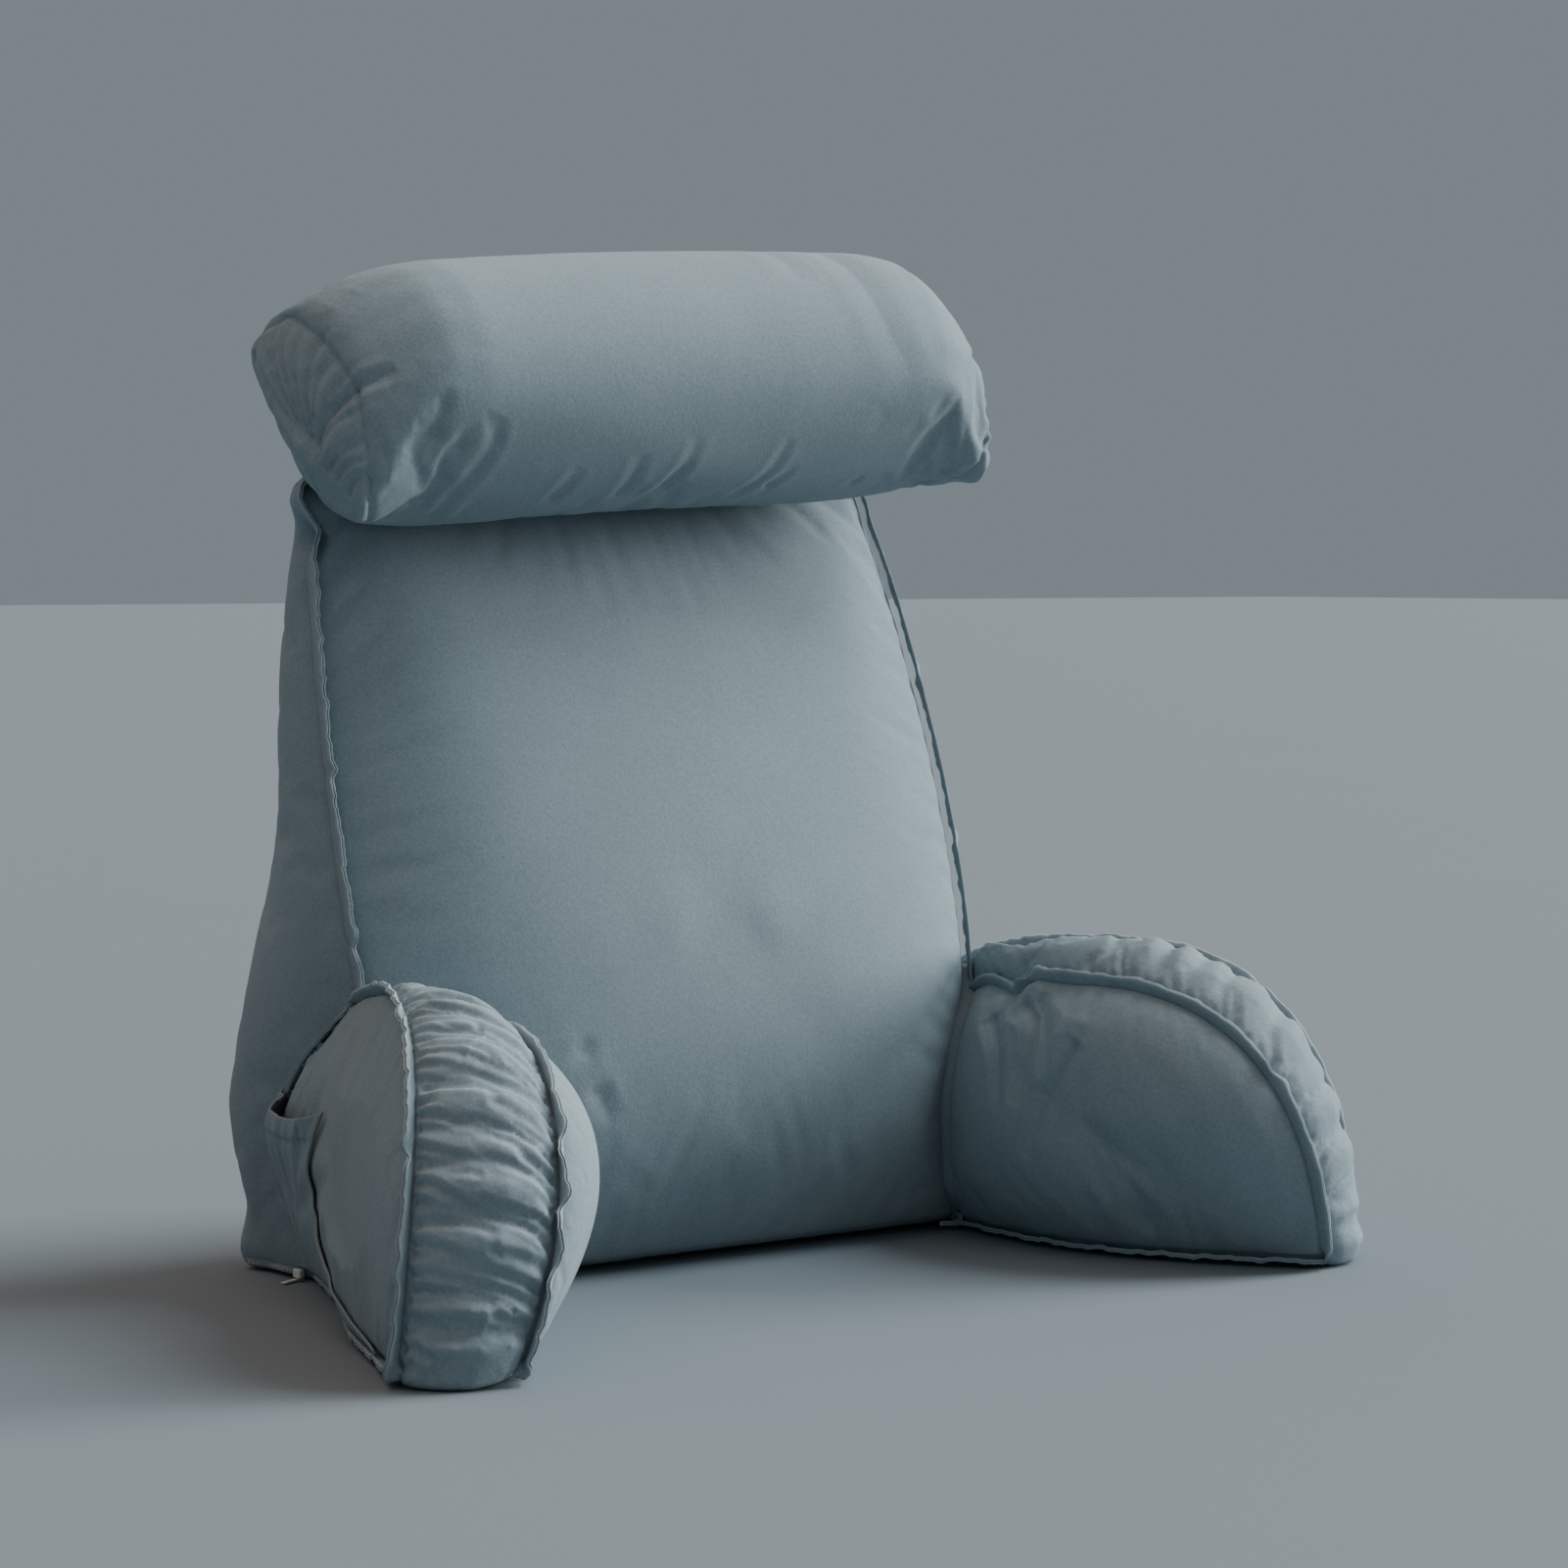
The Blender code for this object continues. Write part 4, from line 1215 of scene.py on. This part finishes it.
def build_arm(name):
    """Puffs an arm's cover, gathers its band and sews its flanges and its edges at the back."""
    cloth = bpy.context.scene.pillow_cloth
    seams = bpy.context.scene.pillow_seams
    material = cloth_material()
    place = ARM_PLACES[name]
    inner, outer = arm_seams(place)
    seed = seams.seed + (10 if place.side < 0 else 20)
    back = tree_of(bpy.data.objects["back_cover"].data)
    piece = even_cover(name + "_cover", name, cloth.arm_voxel, [inner, outer], material)
    held = held_still(piece, [inner.points, outer.points], [back], ARM_HOLD)
    puff(piece, held, cloth.pressure, cloth.slack)
    finer(piece)
    clear_of(piece, back, COVER_GAP)
    joins = {"front": junction(piece, back, place.side, False),
             "rear": junction(piece, back, place.side, True)}
    tree = tree_of(piece.data)
    kind = ARM_GATHERS[name]
    creases = gathers(tree, outer, inner, seams.gather_pitch, kind, GATHER_SLANT, seed)
    creases += gathers(tree, inner, outer, seams.gather_pitch, kind, -GATHER_SLANT, seed + 5)
    creases += folded(tree, ARM_FOLDS[name])
    press(piece, creases, [inner.points, outer.points], ARM_CHANNEL)
    press(piece, [], [join.points for join in joins.values()], JUNCTION_CHANNEL)
    clear_of(piece, back, COVER_GAP)
    finish_piece(piece, "cover", name)
    for label, seam in (("inner", inner), ("outer", outer)):
        seed += 3
        shown = stands_free(seam, seams.flange_height, back)
        edge = flange(f"{name}_{label}_flange", seam, ARM_FLANGE_SHARE * seams.flange_height,
                      seams.flange_thickness, seed, material, shown, ARM_NOTCHES[name, label])
        clear_of(edge, back, EDGE_GAP)
        finish_piece(edge, "cover")
    for label, join in joins.items():
        edge = flange(f"{name}_{label}_junction", join, JUNCTION_HEIGHTS[label],
                      JUNCTION_THICKNESS * seams.flange_thickness, seed + 9, material,
                      np.ones(len(join.points), dtype=bool))
        finish_piece(edge, "cover")


def build_roll():
    """Puffs the neck roll's cover and gathers its ends."""
    cloth = bpy.context.scene.pillow_cloth
    material = cloth_material()
    ends = [roll_end_line(-1), roll_end_line(1)]
    back = tree_of(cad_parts["back_cushion"].data)
    piece = even_cover("roll_cover", "neck_roll", cloth.roll_voxel, [], material)
    held = held_still(piece, ends, [back], ROLL_HOLD)
    puff(piece, held, cloth.pressure, cloth.slack)
    finer(piece)
    for ear in ROLL_EARS:
        pull_out(piece, ear)
    tree = tree_of(piece.data)
    creases = folded(tree, ROLL_FOLDS + end_folds())
    press(piece, creases, end_seams(tree), ROLL_END_CHANNEL)
    clear_of(piece, back, COVER_GAP)
    finish_piece(piece, "cover", "neck_roll")


def depth_along(tree, start, way):
    """How far along a ray a surface lies, or the part of it that the ray just misses."""
    depth = tree.ray_cast(Vector(start), Vector(way))[3]
    if depth is None:
        aim = start
        for _ in range(3):
            depth = (tree.find_nearest(Vector(aim))[0] - Vector(start)).dot(Vector(way))
            aim = start + way * depth
    return depth


def evened(grid, rounds):
    """A grid of values, smoothed a few rounds with its neighbours."""
    for _ in range(rounds):
        wide = np.pad(grid, 1, mode="edge")
        around = wide[2:, 1:-1] + wide[:-2, 1:-1] + wide[1:-1, 2:] + wide[1:-1, :-2]
        grid = grid / 2 + around / 8
    return grid


def build_pocket():
    """Lays the patch pocket on the finished left arm, its hemmed mouth held a little open."""
    put = arm_placer(ARM_PLACES["left_arm"])
    surface = tree_of(bpy.data.objects["left_arm_cover"].data)
    solid_pocket = tree_of(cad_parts["arm_pocket"].data)
    low, high = POCKET_ROWS[0].height * MM, POCKET_ROWS[-1].height * MM
    columns, levels = POCKET_GRID
    across, up = np.meshgrid(np.linspace(0, 1, columns + 1), np.linspace(0, 1, levels + 1))
    across, up = across.ravel(), up.ravel()
    level = low + (high - low) * up
    rear = read_table(POCKET_ROWS, "height", "rear", level / MM) * MM
    front = read_table(POCKET_ROWS, "height", "front", level / MM) * MM
    along = rear + (front - rear) * across
    arch = 4 * across * (1 - across)
    height = level - POCKET_DIP * arch * up ** 4
    opened = smooth_step((level - POCKET_SEWN_BELOW) / (high - POCKET_SEWN_BELOW))
    gusset = np.minimum(np.minimum((1 - across) / POCKET_SIDE, across / POCKET_REAR_SIDE), 1)
    lift = POCKET_CLEARANCE + POCKET_GAPE * opened * gusset
    hem = smooth_step((up - HEM_FROM) / 0.02) - smooth_step((up - HEM_FROM - 0.03) / 0.02)
    lift += POCKET_STEP * smooth_step((up - HEM_FROM) / 0.03) - POCKET_STEP * hem
    edge = (smooth_step((across - POCKET_EDGE) / 0.02)
            + smooth_step(((1 - POCKET_EDGE) - across) / 0.02))
    lift += POCKET_STEP * edge
    outside = put(np.column_stack([along, np.full(len(along), LOOK_FROM), height]))
    inside = put(np.column_stack([along, np.zeros(len(along)), height]))
    shape = bmesh.new()
    grid = bmesh.ops.create_grid(shape, x_segments=columns, y_segments=levels, size=1)
    ways = unit(inside - outside)
    depths = []
    for start, way, gap in zip(outside, ways, lift):
        depth = surface.ray_cast(Vector(start), Vector(way))[3]
        if depth is None:
            depth = depth_along(solid_pocket, start, way) + gap + POCKET_THICKNESS
        depths.append(depth)
    depths = evened(np.reshape(depths, (levels + 1, columns + 1)), 4).ravel() - lift
    for vert, start, way, depth in zip(grid["verts"], outside, ways, depths):
        vert.co = start + way * depth
    piece = piece_from(shape, "patch_pocket", cloth_material())
    press(piece, folded(tree_of(piece.data), POCKET_FOLDS), [], NO_CHANNEL)
    thicken(piece, POCKET_THICKNESS, 1)
    finish_piece(piece, "cover", "arm_pocket")


def build_zip():
    """A closed zip: cloth tape with two rows of small moulded teeth, and its slider and pull."""
    back = tree_of(bpy.data.objects["back_cover"].data)
    plastic = moulded_plastic("moulded_acetal", linear("D9DAD4"))

    def lay(y, z, lift):
        found = back.ray_cast(Vector((-LOOK_FROM, y, z)), Vector((1, 0, 0)))[0]
        return found - Vector((lift, 0, 0))

    shape = bmesh.new()
    columns, levels = ZIP_TAPE_GRID
    grid = bmesh.ops.create_grid(shape, x_segments=columns, y_segments=levels, size=1)
    for index, vert in enumerate(grid["verts"]):
        row, column = divmod(index, columns + 1)
        y = ZIP_REAR_Y + (ZIP_FRONT_Y - ZIP_REAR_Y) * column / columns
        vert.co = lay(y, ZIP_LOW + (ZIP_HIGH - ZIP_LOW) * row / levels, ZIP_TAPE_LIFT)
    bmesh.ops.recalc_face_normals(shape, faces=shape.faces)
    tape = piece_from(shape, "zip_tape", cloth_material())
    thicken(tape, ZIP_TAPE_THICKNESS, 0)
    finish_piece(tape, "cover")

    shape = bmesh.new()
    middle = (ZIP_LOW + ZIP_HIGH) / 2
    count = int((ZIP_REAR_Y - ZIP_FRONT_Y) / ZIP_TOOTH_PITCH)
    for number in range(count):
        y = ZIP_REAR_Y - ZIP_TOOTH_PITCH * (number + 0.5)
        z = middle + (ZIP_TOOTH_SHIFT if number % 2 else -ZIP_TOOTH_SHIFT)
        cube = bmesh.ops.create_cube(shape, size=1)["verts"]
        bmesh.ops.scale(shape, vec=ZIP_TOOTH, verts=cube)
        bmesh.ops.translate(shape, vec=lay(y, z, ZIP_TOOTH_LIFT), verts=cube)
    bmesh.ops.bevel(shape, geom=shape.edges[:], offset=ZIP_TOOTH_BEVEL, offset_type="OFFSET",
                    affect="EDGES", segments=1, profile=0.5, material=-1)
    finish_piece(piece_from(shape, "zip_tooth_rows", plastic), "zip", "zip_teeth")
    for node in ("zip_slider", "zip_pull"):
        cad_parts[node].material_slots[0].material = plastic


def build_stage():
    """The floor, the camera and four soft lights in an evenly lit room."""
    stage = bpy.context.scene.pillow_stage
    shape = bmesh.new()
    bmesh.ops.create_grid(shape, x_segments=1, y_segments=1, size=FLOOR_SIZE)
    floor = piece_from(shape, "studio_floor", studio_paint("studio_paint", stage.floor))
    camera = bpy.data.objects.new("camera", bpy.data.cameras.new("camera"))
    camera.data.lens = CAMERA_LENS
    camera.data.sensor_width = CAMERA_SENSOR
    camera.location = CAMERA_PLACE
    view = Vector(CAMERA_AIM) - Vector(CAMERA_PLACE)
    camera.rotation_euler = view.to_track_quat("-Z", "Y").to_euler()
    bpy.context.collection.objects.link(camera)
    bpy.context.scene.camera = camera
    for name, (spread, place, colour) in LIGHTS.items():
        sun_light(name + "_light", getattr(stage, name + "_strength"), spread, place, colour)
    world = bpy.data.worlds.new("studio")
    bpy.context.scene.world = world
    world.use_nodes = True
    ground = world.node_tree.nodes["Background"]
    ground.inputs["Color"].default_value = (*linear(ROOM_COLOUR), 1.0)
    ground.inputs["Strength"].default_value = stage.fill_strength


def sun_light(name, strength, spread, place, colour):
    """A wide, even light that falls from a place towards the pillow, its spread in degrees."""
    data = bpy.data.lights.new(name, "SUN")
    data.energy = strength
    data.angle = math.radians(spread)
    data.color = linear(colour)
    light = bpy.data.objects.new(name, data)
    light.location = place
    light.rotation_euler = (-Vector(place)).to_track_quat("-Z", "Y").to_euler()
    bpy.context.collection.objects.link(light)


# Operators and panel

class PILLOW_OT_stage(bpy.types.Operator):
    """Adds the studio floor, the lights and the camera"""
    bl_idname = "pillow.stage"
    bl_label = "Build Stage"

    def execute(self, context):
        build_stage()
        return {"FINISHED"}


class PILLOW_OT_back(bpy.types.Operator):
    """Puffs the back cushion's cover and sews its flange"""
    bl_idname = "pillow.back"
    bl_label = "Build Back"

    def execute(self, context):
        build_back()
        return {"FINISHED"}


class PILLOW_OT_arms(bpy.types.Operator):
    """Puffs both arms' covers and gathers their bands"""
    bl_idname = "pillow.arms"
    bl_label = "Build Arms"

    def execute(self, context):
        for name in ARM_PLACES:
            build_arm(name)
        return {"FINISHED"}


class PILLOW_OT_roll(bpy.types.Operator):
    """Puffs the neck roll's cover and draws its ends in"""
    bl_idname = "pillow.roll"
    bl_label = "Build Neck Roll"

    def execute(self, context):
        build_roll()
        return {"FINISHED"}


class PILLOW_OT_pocket(bpy.types.Operator):
    """Lays the patch pocket on the left arm"""
    bl_idname = "pillow.pocket"
    bl_label = "Build Pocket"

    def execute(self, context):
        build_pocket()
        return {"FINISHED"}


class PILLOW_OT_zip(bpy.types.Operator):
    """Sews the zip's tape, teeth, slider and pull into the left side's base seam"""
    bl_idname = "pillow.zip"
    bl_label = "Build Zip"

    def execute(self, context):
        build_zip()
        return {"FINISHED"}


class PILLOW_PT_panel(bpy.types.Panel):
    """Lists the pillow's pieces and their settings"""
    bl_label = "Reading Pillow"
    bl_idname = "PILLOW_PT_panel"
    bl_space_type = "VIEW_3D"
    bl_region_type = "UI"
    bl_category = "Pillow"

    def draw(self, context):
        layout = self.layout
        for group in (context.scene.pillow_cloth, context.scene.pillow_seams,
                      context.scene.pillow_stage):
            for name in group.bl_rna.properties.keys():
                if name not in ("rna_type", "name"):
                    layout.prop(group, name)
        for operator in OPERATORS:
            layout.operator(operator.bl_idname)


SETTINGS = {
    "pillow_cloth": PillowClothSettings,
    "pillow_seams": PillowSeamSettings,
    "pillow_stage": PillowStageSettings,
}
OPERATORS = (PILLOW_OT_stage, PILLOW_OT_back, PILLOW_OT_arms, PILLOW_OT_roll, PILLOW_OT_pocket,
             PILLOW_OT_zip)


def register():
    """Adds the settings, the operators and the panel."""
    for item in (*SETTINGS.values(), *OPERATORS, PILLOW_PT_panel):
        bpy.utils.register_class(item)
    for name, group in SETTINGS.items():
        setattr(bpy.types.Scene, name, PointerProperty(type=group))


def unregister():
    """Takes them away again."""
    for name in SETTINGS:
        delattr(bpy.types.Scene, name)
    for item in (PILLOW_PT_panel, *reversed(OPERATORS), *SETTINGS.values()):
        bpy.utils.unregister_class(item)


def main():
    """Builds every piece."""
    register()
    bpy.ops.pillow.stage()
    bpy.ops.pillow.back()
    bpy.ops.pillow.arms()
    bpy.ops.pillow.roll()
    bpy.ops.pillow.pocket()
    bpy.ops.pillow.zip()


if __name__ == "__main__":
    main()
